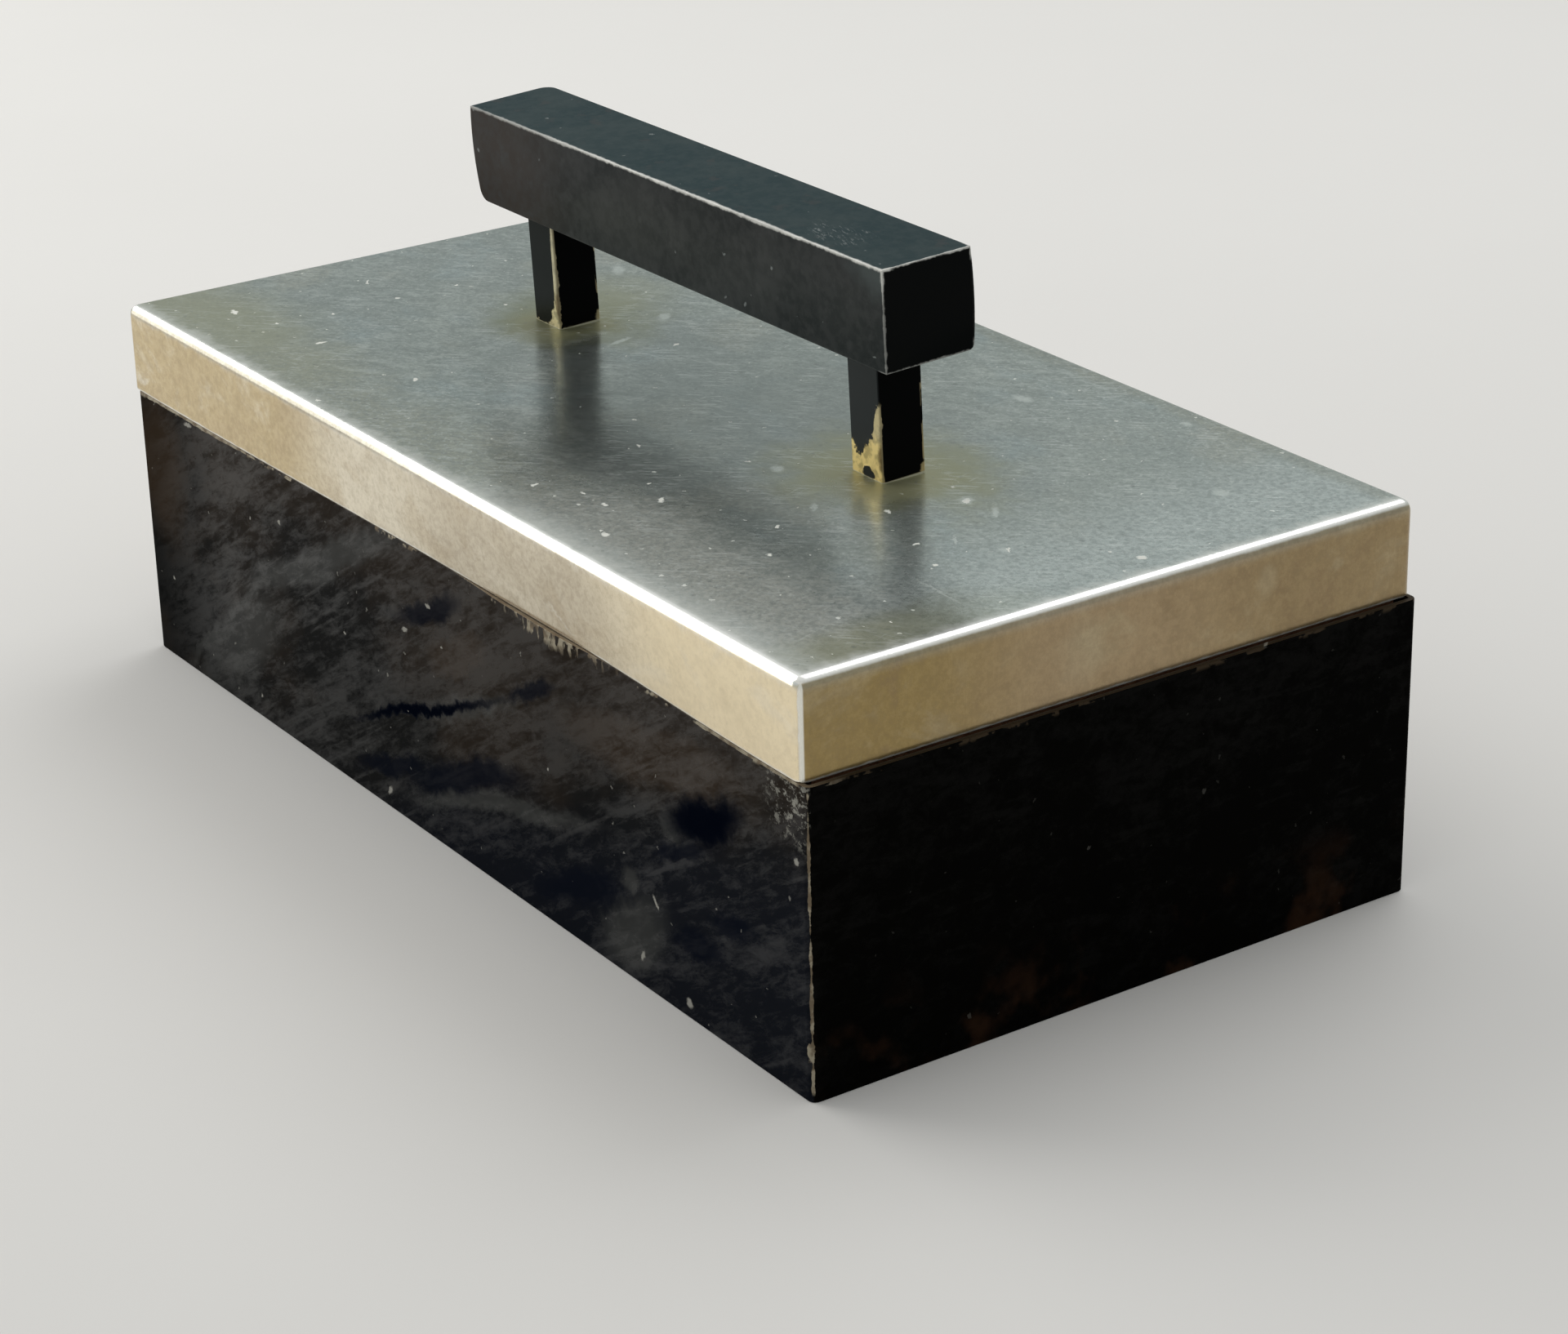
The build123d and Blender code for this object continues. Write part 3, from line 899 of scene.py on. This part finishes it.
tints = noise(stretch(place, (24, 38, 1), turn=(0, 0, 0.3)), detail=4.0)
dull_tone = blend_colours(past_middle, (0.345, 0.358, 0.285), (0.495, 0.5, 0.445))
bright_grain = noise(place, 980.0, detail=3.0, roughness=0.7)
wisps = noise(stretch(on_top, (150, 330, 1), turn=(0, 0, -0.6)), detail=5.0, roughness=0.7,
              distortion=0.4)
wisp_share = blend_values(fade(x_place, 0.03, 0.07), 0.34, 0.12)
# Painted reflection: a dark patch on the top, in front of the bar, standing for the bar's reflection.
painted_bar_reflection = patch(place, (0.014, -0.002, lid_high.z), (0.046, 0.03, 0.01), 0.9, 0.4, 50.0)
top_tone_with_painted_light = lay_over(
    top_tone_with_painted_light,
    (fine_clouds * 0.6, (0.315, 0.358, 0.333)),
    (fade(tints, 0.46, 0.34) * 0.55, (0.375, 0.46, 0.465)),
    (fade(tints, 0.54, 0.66) * 0.5, (0.455, 0.46, 0.385)),
    (fade(scaled(waver, 4.0, x_place), 0.08, 0.112), (0.515, 0.575, 0.55)),
    (dull_front * 0.8, dull_tone),
    (back_dull * 0.5, (0.33, 0.34, 0.27)),
    (fade(grain, 0.42, 0.6) * 0.46, (0.225, 0.26, 0.245)),
    (fade(bright_grain, 0.5, 0.7) * 0.36, (0.74, 0.79, 0.75)),
    (fine_dust * 0.22, (0.74, 0.78, 0.73)),
    (fade(wisps, 0.5, 0.66) * wisp_share, (0.62, 0.67, 0.63)),
    (fade(wisps, 0.5, 0.36) * wisp_share, (0.225, 0.26, 0.245)),
    (painted_bar_reflection * 0.55, (0.235, 0.27, 0.255)))
drifting_nickel = ruffle_place(place, 180.0, 0.007, detail=6.0)
# The front skirt's tones along its length are partly tarnish and partly painted reflection: darker where
# the pressed-in middle mirrors the floor near the case, brightest at the right end where it mirrors
# brighter floor.
right_part = fade(x_place, 0.05, 0.09)
left_part = fade(x_place, -0.03, -0.062)
dent_part = fade(x_place, -0.008, 0.006) * fade(x_place, 0.078, 0.052)
front_tone_with_painted_light = blend_colours(left_part, (0.88, 0.8, 0.64), (0.64, 0.505, 0.285))
front_stain = noise(stretch(place, (1, 1, 1.5)), 46.0, detail=6.0, roughness=0.68, distortion=0.5)
stain_share = blend_values(right_part, 0.32, 0.1)
rubbed = smears_at(drifting_nickel, (1, lid_low.y, 0.01),
                   ((47, 64.2, 5, 0.35, -18), (-124.5, 64, 2.8, 0.8, 20)))
front_tone_with_painted_light = lay_over(
    front_tone_with_painted_light,
    (dent_part, (0.72, 0.635, 0.49)),
    (right_part, (1.0, 0.86, 0.6)),
    (fade(front_stain, 0.48, 0.64) * stain_share, (0.52, 0.395, 0.235)),
    (fade(front_stain, 0.47, 0.34) * 0.35, (0.98, 0.9, 0.74)),
    (rubbed * 0.42, (1.0, 0.95, 0.84)))
near_part, far_part = fade(y_place, -0.012, -0.048), fade(y_place, 0.0, 0.04)
# The right skirt's darker, browner tone is partly tarnish and partly painted shade, standing for the darker
# surroundings this side mirrors.
right_tone_with_painted_shade = blend_colours(near_part, (0.4, 0.29, 0.166), (0.34, 0.24, 0.088))
right_cloud = noise(stretch(place, (1, 1, 1.4)), 38.0, detail=6.0, roughness=0.66, distortion=0.6)
pale_patches = smears_at(drifting_nickel, (0, lid_high.x, 0.01),
                         ((33.5, 72, 2.2, 3, 0), (-9, 69, 4.8, 6, 0), (50, 71.5, 1.4, 1.4, 0)))
under_line = fade(downward, 0.0034, 0.0012) * 0.38
right_tone_with_painted_shade = lay_over(
    right_tone_with_painted_shade,
    (far_part, (0.33, 0.236, 0.118)),
    (fade(right_cloud, 0.5, 0.66) * 0.58, (0.44, 0.355, 0.215)),
    (fade(right_cloud, 0.48, 0.36) * 0.62, (0.285, 0.195, 0.1)),
    (pale_patches * 0.24, (0.5, 0.44, 0.3)),
    (under_line, (0.42, 0.42, 0.37)))
front_tone_with_painted_light = lay_over(
    front_tone_with_painted_light,
    (painted_glow_under_edge * 0.6, (0.97, 0.95, 0.88)),
    (painted_shade_under_fold * 0.9, (0.33, 0.315, 0.26)))
# Painted light: the front and right skirts are lit and shaded copies of one tarnished nickel.
side_tone_with_painted_light = blend_colours(on_right, front_tone_with_painted_light, right_tone_with_painted_shade)
side_mottle = noise(place, 240.0, detail=5.0, roughness=0.7)
grain_share = blend_values(on_right, blend_values(right_part, 0.75, 0.35), 0.7)
# The pale grain is paler on the front than on the right: painted light.
pale_grain = blend_colours(on_right, (0.98, 0.9, 0.68), (0.68, 0.56, 0.34))
for pattern, share in ((grain, 1.0), (side_mottle, 0.50)):
    darker = fade(pattern, 0.44, 0.62) * (grain_share * (0.3 * share))
    lighter = fade(pattern, 0.54, 0.38) * (grain_share * (0.11 * share))
    side_tone_with_painted_light = lay_over(
        side_tone_with_painted_light,
        (darker, (0.26, 0.2, 0.12)),
        (lighter, pale_grain))
# The top's grey-green and the skirts' warm tones are partly tarnish and partly painted reflection of the
# sky above and the floor around.
tone = blend_colours(facing_up, side_tone_with_painted_light, top_tone_with_painted_light)
halo_tone = blend_colours(past_middle, (0.262, 0.276, 0.158), (0.34, 0.345, 0.205))
dust = any_of(big_specks, dried_spots, small_specks * 0.55)
dust *= facing_up
tone = lay_over(
    tone,
    (outer_halo * 0.94, halo_tone),
    (inner_halo * 0.5, (0.25, 0.235, 0.125)),
    (corner_stain * 0.62, (0.365, 0.372, 0.235)),
    (scratched * 0.26, (0.8, 0.84, 0.8)),
    (front_haze * 0.42, (0.7, 0.74, 0.7)),
    (faint_spots * facing_up * 0.55, (0.75, 0.8, 0.75)),
    (pits * facing_up * 0.35, (0.16, 0.18, 0.17)),
    (rim_haze * 0.55, (0.85, 0.86, 0.8)),
    (polish_and_painted_highlight, (0.93, 0.93, 0.89)),
    (corner_painted_highlight, (0.98, 0.95, 0.85)),
    (dust, (0.72, 0.72, 0.66)))
film = blend_values(fade(scaled(waver, 8.0, x_place), 0.0, 0.06), blend_values(fine_clouds, 0.8, 0.86),
                    0.68)
film = blend_values(dull_front, film, blend_values(past_middle, 0.7, 0.45))
side_film = blend_values(right_part, blend_values(fine_clouds, 0.8, 0.86), 0.97)
film = blend_values(fade(facing_y, -0.4, -0.8), film, side_film)
film *= blend_values(inner_halo, 1.0, 0.72)
film *= blend_values(wiped, 1.0, 0.42)
# The painted corner highlight is made mostly unmetallic, so its pale colour shows under any light.
film *= blend_values(corner_painted_highlight, 1.0, 0.3)
haze = blend_values(fine_clouds, 0.19, 0.25)
grit = wiping + noise(place, 1100.0, detail=3.0)
feed(shader, Base_Color=tone, Metallic=film * (1.0 - dust),
     Roughness=blend_values(dust, blend_values(inner_halo, haze, 0.42), 0.8), Normal=relief(grit, 0.000008))
fit_out(lid_shell, aged_nickel, "lid", "lid_shell")


# ------------------------------------------------------------
# Lining of the lid: a thin cedar board glued under the top, with flannel stretched over it.
# ------------------------------------------------------------

refinish("lid_lining_board", cedar)

lining_low, lining_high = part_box("lid_lining_cloth")
lid_cloth = start_block("flannel_lid", lining_low, lining_high)
pick_edges(lid_cloth, edges_on((2, -1, lining_low.z)))
round_picked(cut_softness * 2)
smooth_finish(lid_cloth, 60)
fit_out(lid_cloth, flannel, "lid", "lid_lining_cloth")


# ------------------------------------------------------------
# Handle posts: square brass bar under black lacquer, standing on the lid and leaning forward a
# little. Hands and polishing cloths have worn the lacquer off their front edges and feet.
# ------------------------------------------------------------

lean = radians(2.34)
foot_shift = Vector((-0.00035, 0.00105, 0))
lean_centre = Vector((0, 0, lid_high.z))


def upright(place):
    """Places on a leaning piece, as they are on the upright one."""
    shifted = move("SUBTRACT", place, foot_shift)
    sockets = {"Vector": shifted, "Center": lean_centre, "Angle": -lean}
    return wire(place.tree, "VectorRotate", sockets, rotation_type="X_AXIS")


def worn_post_lacquer(name, low, high, bare_heights, islands, bare_to, black_tone, brass_tone,
                      lacquer_shine):
    """Black lacquer worn to brass in front, all places and heights as shares of the post's.

    bare_heights pairs a place across the front with the height that is bare there, bare_to is how
    far up the front edge is bare, and an island of lacquer is its place, width and height.
    """
    finish, shader, place = new_finish(name, Coat_Roughness=0.2, Coat_IOR=1.5, Specular_IOR_Level=0.0)
    place = upright(place)
    edge = edge_distance(place, low, high)
    x_place, y_place, z_place = parts_of(place)
    facing_x, facing_y, facing_z = facing_of(place)
    across = (x_place - low.x) / (high.x - low.x)
    height = (z_place - low.z) / (high.z - low.z)
    profile = add_node(place.tree, "ValToRGB", {0: across})
    stops = profile.color_ramp.elements
    while len(stops) < len(bare_heights):
        stops.new(0.5)
    for stop, (spot, bare) in zip(stops, bare_heights):
        stop.position = spot
        stop.color = (bare, bare, bare, 1)
    ragged = scaled(noise(place, 700.0, detail=4.0, roughness=0.7), 0.26, -0.13)
    lacking = Wire(profile.outputs[0]) + ragged - height
    on_front = fade(facing_y, -0.2, -0.5)
    bare_front = fade(lacking, -0.012, 0.012) * on_front
    for spot, rise, width, tall in islands:
        middle = (low.x + (high.x - low.x) * spot, low.y, low.z + (high.z - low.z) * rise)
        island = patch(place, middle, (width, 0.003, tall), 0.15, 0.7, 420.0)
        bare_front *= 1.0 - island
    bare_edge = worn_edge(place, edge, 0.0004, 0.0001, 0.0012, 700.0, 160.0)
    near_front = fade(y_place, low.y + 0.003, low.y + 0.001) * fade(x_place, high.x - 0.004, high.x - 0.002)
    near_front *= fade(height, bare_to + 0.04, bare_to - 0.04)
    solder = fade(z_place, low.z + 0.00045, low.z + 0.0002)
    chip = patch(place, (high.x, high.y, low.z + 0.0008), (0.0012, 0.0012, 0.0016), 0.2, 0.3, 900.0)
    back_edge = fade(y_place, high.y - 0.0007, high.y - 0.0004)
    back_edge *= fade(noise(stretch(place, (1, 1, 0.4)), 420.0), 0.49, 0.54)
    back_edge *= fade(x_place, high.x - 0.001, high.x - 0.0006)
    bare = any_of(bare_front, bare_edge * near_front, solder, chip, back_edge * 0.8)
    stained = fade(noise(place, 420.0, detail=3.0), 0.45, 0.62)
    # Painted shade: the faces towards the right end get near-black lacquer, little coat shine and darker
    # brass.
    on_shaded_end = fade(facing_x, 0.5, 0.8)
    brass = blend_colours(stained * 0.75, brass_tone, [channel * 0.46 for channel in brass_tone])
    brown_stain = patch(place, (high.x, low.y, low.z + 0.0055), (0.0011, 0.003, 0.0032), 0.4, 0.5, 500.0)
    high_up = fade(height, 0.26, 0.4) * 0.55
    brass = lay_over(
        brass,
        (brown_stain * 0.8, (0.13, 0.085, 0.045)),
        (high_up, (0.46, 0.42, 0.32)),
        (on_shaded_end * 0.7, (0.36, 0.29, 0.18)),
        (solder, (0.6, 0.58, 0.47)))
    black = blend_colours(on_shaded_end, black_tone, (0.003, 0.003, 0.003))
    shine = blend_values(on_shaded_end, lacquer_shine, 0.05)
    feed(shader, Base_Color=blend_colours(bare, black, brass), Metallic=bare * 0.45,
         Roughness=blend_values(bare, 0.5, 0.46), Coat_Weight=shine * (1.0 - bare),
         Normal=relief(1.0 - bare, 0.00008))
    return finish


post_round = 0.0005
post_looks = {
    "left": {"bare_heights": ((0.0, 0.0), (0.5, 0.0), (0.6, 0.05), (0.7, 0.12), (0.8, 0.16), (0.86, 0.24),
                              (0.885, 0.78), (0.93, 0.9)),
             "islands": (), "bare_to": 0.86, "black_tone": (0.005, 0.0066, 0.0062),
             "brass_tone": (0.78, 0.68, 0.42), "lacquer_shine": 0.17},
    "right": {"bare_heights": ((0.0, 0.25), (0.1, 0.225), (0.22, 0.17), (0.34, 0.175), (0.42, 0.24),
                               (0.6, 0.3), (0.74, 0.34), (0.8, 0.46), (0.87, 0.58), (1.0, 0.62)),
              "islands": ((0.55, 0.04, 0.0021, 0.0012),), "bare_to": 0.6,
              "black_tone": (0.0125, 0.0145, 0.0158), "brass_tone": (0.97, 0.76, 0.34),
              "lacquer_shine": 0.3}}
for side, look in post_looks.items():
    post_low, post_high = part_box("handle_post_" + side)
    post = start_block("post_" + side, post_low, post_high)
    pick_edges(post, along_z)
    round_picked(post_round)
    bpy.ops.object.mode_set(mode="EDIT")
    bpy.ops.mesh.select_all(action="SELECT")
    bpy.ops.transform.translate(value=foot_shift)
    pick_faces(post, lambda centre, normal: normal.z > 0.9)
    tuck = 0.0008
    bpy.ops.transform.translate(value=(0, -(post_high.z - post_low.z) * math.tan(lean), tuck))
    bpy.ops.object.mode_set(mode="OBJECT")
    smooth_finish(post)
    post_lacquer = worn_post_lacquer("worn lacquer " + side, post_low, post_high, **look)
    fit_out(post, post_lacquer, "lid", "handle_post_" + side)


# ------------------------------------------------------------
# Handle bar: square brass bar, its edges eased with a file and lacquered black. Its far end is
# filed rounder below, and handling has thinned the lacquer to a pale line along the front edge,
# which is also a painted highlight of the rounded edge.
# ------------------------------------------------------------

bar_low, bar_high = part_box("handle_bar")
bar_round = 0.0007
handle_bar = start_block("bar", bar_low, bar_high)
far_face, back_face, under_face = (0, -1, bar_low.x), (1, 1, bar_high.y), (2, -1, bar_low.z)
for faces, radius, segments in (((far_face, under_face), 0.0022, 6), ((far_face, back_face), 0.0028, 6),
                                ((back_face, under_face), 0.0012, 5)):
    pick_edges(handle_bar, edges_on(*faces))
    round_picked(radius, segments)
apply_modifier(handle_bar, "BEVEL", width=bar_round, segments=4, limit_method="ANGLE",
               angle_limit=radians(50))
bar_centre = (bar_low + bar_high) / 2
bar_half = (bar_high.z - bar_low.z) / 2
far_end_drop = 0.0005
half_bar = (bar_high.x - bar_low.x) / 2
bulge_stops = ((half_bar - 0.013, 0.0), (half_bar - 0.004, 1.0))
bpy.ops.object.mode_set(mode="EDIT")
for step in range(-3, 4):
    cut_across(1, [bar_centre.y + step * bar_half / 4])
    cut_across(2, [bar_centre.z + step * bar_half / 4])
for from_end in (0.004, 0.0055, 0.007, 0.009, 0.011, 0.013):
    cut_across(0, (bar_low.x + from_end, bar_high.x - from_end))
bpy.ops.object.mode_set(mode="OBJECT")
for point in handle_bar.data.vertices:
    sideways = (point.co.y - bar_low.y) / (bar_high.y - bar_low.y)
    rise = (point.co.z - bar_centre.z) / bar_half
    far_bulge = 0.0015 - 0.0010 * (rise - 0.4) ** 2 + 0.0010 * sideways
    near_bulge = 0.0007 * (1 - rise ** 2) * sideways
    point.co.x -= far_bulge * smooth_between(bulge_stops, bar_centre.x - point.co.x)
    point.co.x += near_bulge * smooth_between(bulge_stops, point.co.x - bar_centre.x)
    point.co.z -= far_end_drop * (bar_high.x - point.co.x) / (bar_high.x - bar_low.x)
bpy.ops.object.mode_set(mode="EDIT")
bpy.ops.mesh.select_all(action="SELECT")
bpy.ops.transform.rotate(value=-lean, orient_axis="X", center_override=lean_centre)
bpy.ops.transform.translate(value=foot_shift)
bpy.ops.object.mode_set(mode="OBJECT")
smooth_finish(handle_bar)

bar_lacquer, shader, place = new_finish("thinned black lacquer", Coat_Roughness=0.22, Coat_IOR=1.5,
                                        Specular_IOR_Level=0.0)
place = upright(place)
x_place, y_place, z_place = parts_of(place)
facing_x, facing_y, facing_z = facing_of(place)
drop = (bar_high.x - x_place) * (far_end_drop / (bar_high.x - bar_low.x))
settled = move("ADD", place, place_at(0.0, 0.0, drop))
edge = edge_distance(settled, bar_low - Vector((0.003, 0, 0)), bar_high)
rubbed_edge = worn_edge(place, edge, 0.0004, 0.00026, 0.0008, 620.0)
fine_edge = worn_edge(place, edge, 0.0002, 0.00018, 0.0008, 620.0)
near_top = fade(z_place, bar_high.z - 0.003, bar_high.z - 0.0015)
near_front = fade(y_place, bar_low.y + 0.003, bar_low.y + 0.0015)
near_end = fade(x_place, bar_high.x - 0.003, bar_high.x - 0.0015)
lower_end = near_end * fade(z_place, bar_low.z + 0.003, bar_low.z + 0.0015)
along_front = blend_values(fade(x_place, -0.07, -0.02), 0.5, 0.95)
down_front = blend_values(fade(z_place, bar_high.z - 0.008, bar_high.z - 0.001), 0.35, 1.0)
front_line = near_top * near_front * along_front
held = any_of(near_top * near_end * 0.8, near_front * near_end * down_front, lower_end * 0.4, 0.03)
# The pale line along the edges is partly lacquer worn thin and partly a painted highlight of the rounded
# edges.
worn_and_highlit = any_of(rubbed_edge * front_line, fine_edge * held)
worn_and_highlit *= blend_values(noise(place, 130.0, detail=3.0), 0.55, 1.3)
worn_and_highlit = calc("MINIMUM", worn_and_highlit, 1.0)
scraped = patch(place, (0.047, -0.003, bar_high.z), (0.0065, 0.004, 0.004), 0.6, 0.6, 300.0)
scraped *= fade(noise(stretch(place, (420, 1900, 420), turn=(0, 0, 0.25)), detail=5.0, roughness=0.75),
                0.54, 0.66)
smudges = fade(noise(place, 55.0, detail=4.0), 0.4, 0.68)
handled = fade(noise(place, 190.0, detail=3.0), 0.6, 0.7) * 0.5
facing_up = fade(facing_z, 0.5, 0.85)
on_shaded_end = fade(facing_x, 0.5, 0.85)
at_far_end = fade(x_place, -0.03, -0.066)
front_tone_with_painted_light = blend_colours(smudges, (0.0092, 0.0124, 0.013), (0.018, 0.0206, 0.0208))
mottled = fade(noise(place, 420.0, detail=5.0, roughness=0.66), 0.38, 0.62)
near_corner = patch(place, (bar_high.x, bar_low.y, bar_high.z - 0.001), (0.008, 0.004, 0.004), 0.7, 0.4,
                    250.0)
front_tone_with_painted_light = lay_over(
    front_tone_with_painted_light,
    (at_far_end, (0.0336, 0.0266, 0.0222)),
    (mottled * 0.38, (0.041, 0.043, 0.043)),
    (near_corner, (0.052, 0.064, 0.063)))
# Painted light: the top is a lighter, teal copy of the front's lacquer, standing for the sky it mirrors.
top_tone_with_painted_light = blend_colours(smudges, (0.0102, 0.028, 0.032), (0.0202, 0.037, 0.039))
top_tone_with_painted_light = blend_colours(mottled * 0.24, top_tone_with_painted_light, (0.05, 0.066, 0.066))
tone = blend_colours(facing_up, front_tone_with_painted_light, top_tone_with_painted_light)
off_the_end = 1.0 - on_shaded_end
dots = specks_on(place_at(x_place, y_place + z_place), 120.0, 0.045, 0.3)
marked = any_of(dots * 0.8, scraped) * off_the_end
tone = lay_over(
    tone,
    # Painted shade: the end faces are near black.
    (on_shaded_end, (0.0035, 0.004, 0.004)),
    (handled * off_the_end, (0.04, 0.042, 0.042)),
    (marked * 0.7, (0.26, 0.28, 0.275)))
lower_dulling = blend_values(fade(z_place, bar_low.z, bar_low.z + 0.013), 0.62, 1.0)
front_shine = blend_values(smudges, 0.26, 0.33) * lower_dulling
shine = blend_values(facing_up, front_shine, 0.32)
# Painted shade: the end faces get little coat shine.
shine = blend_values(on_shaded_end, shine, 0.06)
feed(shader, Base_Color=blend_colours(worn_and_highlit, tone, (0.72, 0.71, 0.67)), Metallic=worn_and_highlit * 0.4,
     Roughness=blend_values(smudges, 0.4, 0.5), Coat_Weight=shine * (1.0 - worn_and_highlit),
     Normal=relief(noise(place, 500.0, detail=2.0), 0.00001))
fit_out(handle_bar, bar_lacquer, "lid", "handle_bar")


# ------------------------------------------------------------
# Handle screws: plain steel, turned and slotted, put in from inside the lid.
# ------------------------------------------------------------

plain_steel, shader, place = new_finish("turned steel", Metallic=1.0)
turned = noise(place, 1500.0, detail=3.0)
feed(shader, Base_Color=blend_colours(fade(turned, 0.4, 0.6), (0.5, 0.5, 0.51), (0.36, 0.36, 0.37)),
     Roughness=blend_values(fade(turned, 0.4, 0.6), 0.28, 0.4))
refinish("handle_screws", plain_steel)


# ------------------------------------------------------------
# Studio: a pale floor that runs into its backdrop, three soft lamps and a pale surround.
# ------------------------------------------------------------

clear_selection()
bpy.ops.mesh.primitive_plane_add(size=8.0, location=(0, 0, 0))
floor = bpy.context.object
floor.name = "studio_floor"
floor_finish, shader, place = new_finish("pale floor", Roughness=0.9, Specular_IOR_Level=0.1)
faint = noise(place, 6.0, detail=3.0)
feed(shader, Base_Color=blend_colours(faint, (0.72, 0.705, 0.68), (0.75, 0.735, 0.71)))
backdrop_tone = (0.74, 0.73, 0.71)
seen_far_off = fade(length_of(place), 0.76, 1.15) * wire(place.tree, "LightPath", output="Is Camera Ray")
backdrop = wire(place.tree, "Emission", {"Color": backdrop_tone, "Strength": 1.0})
far_and_near = wire(place.tree, "MixShader", {0: seen_far_off, 1: Wire(shader.outputs[0]), 2: backdrop})
set_socket(place.tree.nodes["Material Output"].inputs["Surface"], far_and_near)
floor.data.materials.append(floor_finish)

world = bpy.data.worlds.new("studio surround")
bpy.context.scene.world = world
world.use_nodes = True
world.node_tree.nodes.clear()
height = parts_of(wire(world.node_tree, "TexCoord", output="Generated"))[2]
surround_tone = blend_colours(fade(height, 0.50, 0.70), (0.44, 0.47, 0.465), (0.66, 0.66, 0.66))
seen = wire(world.node_tree, "LightPath", output="Is Camera Ray")
surround_tone = blend_colours(seen, surround_tone, backdrop_tone)
surround = wire(world.node_tree, "Background", {"Color": surround_tone, "Strength": 1.0})
add_node(world.node_tree, "OutputWorld", {"Surface": surround})


def hang_lamp(name, place, aim, width, height, power, colour):
    """A rectangular soft lamp that points at a place."""
    clear_selection()
    bpy.ops.object.light_add(type="AREA", location=place)
    lamp = bpy.context.object
    lamp.name = name
    lamp.data.shape = "RECTANGLE"
    lamp.data.size = width
    lamp.data.size_y = height
    lamp.data.energy = power
    lamp.data.color = colour
    lamp.rotation_euler = (Vector(aim) - Vector(place)).to_track_quat("-Z", "Y").to_euler()


hang_lamp("left softbox", (-1.14, -0.45, 0.85), (0, 0, 0), 1.1, 1.1, 7.8, (1.0, 0.99, 0.97))
hang_lamp("overhead softbox", (-0.24, 0.68, 1.10), (0, 0, 0), 0.9, 0.8, 4.2, (0.98, 0.99, 1.0))
hang_lamp("front softbox", (-1.06, -0.77, 0.17), (0, 0, 0.07), 0.8, 0.4, 2.3, (1.0, 0.99, 0.97))

# The camera stands a little above the chest, off its front right corner.
camera_place = (0.607131, -0.394476, 0.333176)
camera_turn, camera_pitch, camera_roll = radians(56.134), radians(23.377), radians(-1.36)
focal_pixels, picture_width = 4692.66, 1920
film_width = 36.0
clear_selection()
bpy.ops.object.camera_add(location=camera_place)
camera = bpy.context.object
aim = Matrix.Rotation(camera_turn, 3, "Z") @ Matrix.Rotation(radians(90) - camera_pitch, 3, "X")
camera.rotation_euler = (aim @ Matrix.Rotation(camera_roll, 3, "Z")).to_euler()
camera.data.sensor_width = film_width
camera.data.lens = film_width * focal_pixels / picture_width
camera.data.clip_start, camera.data.clip_end = 0.01, 50
bpy.context.scene.camera = camera
bpy.context.scene.view_settings.view_transform = "Standard"
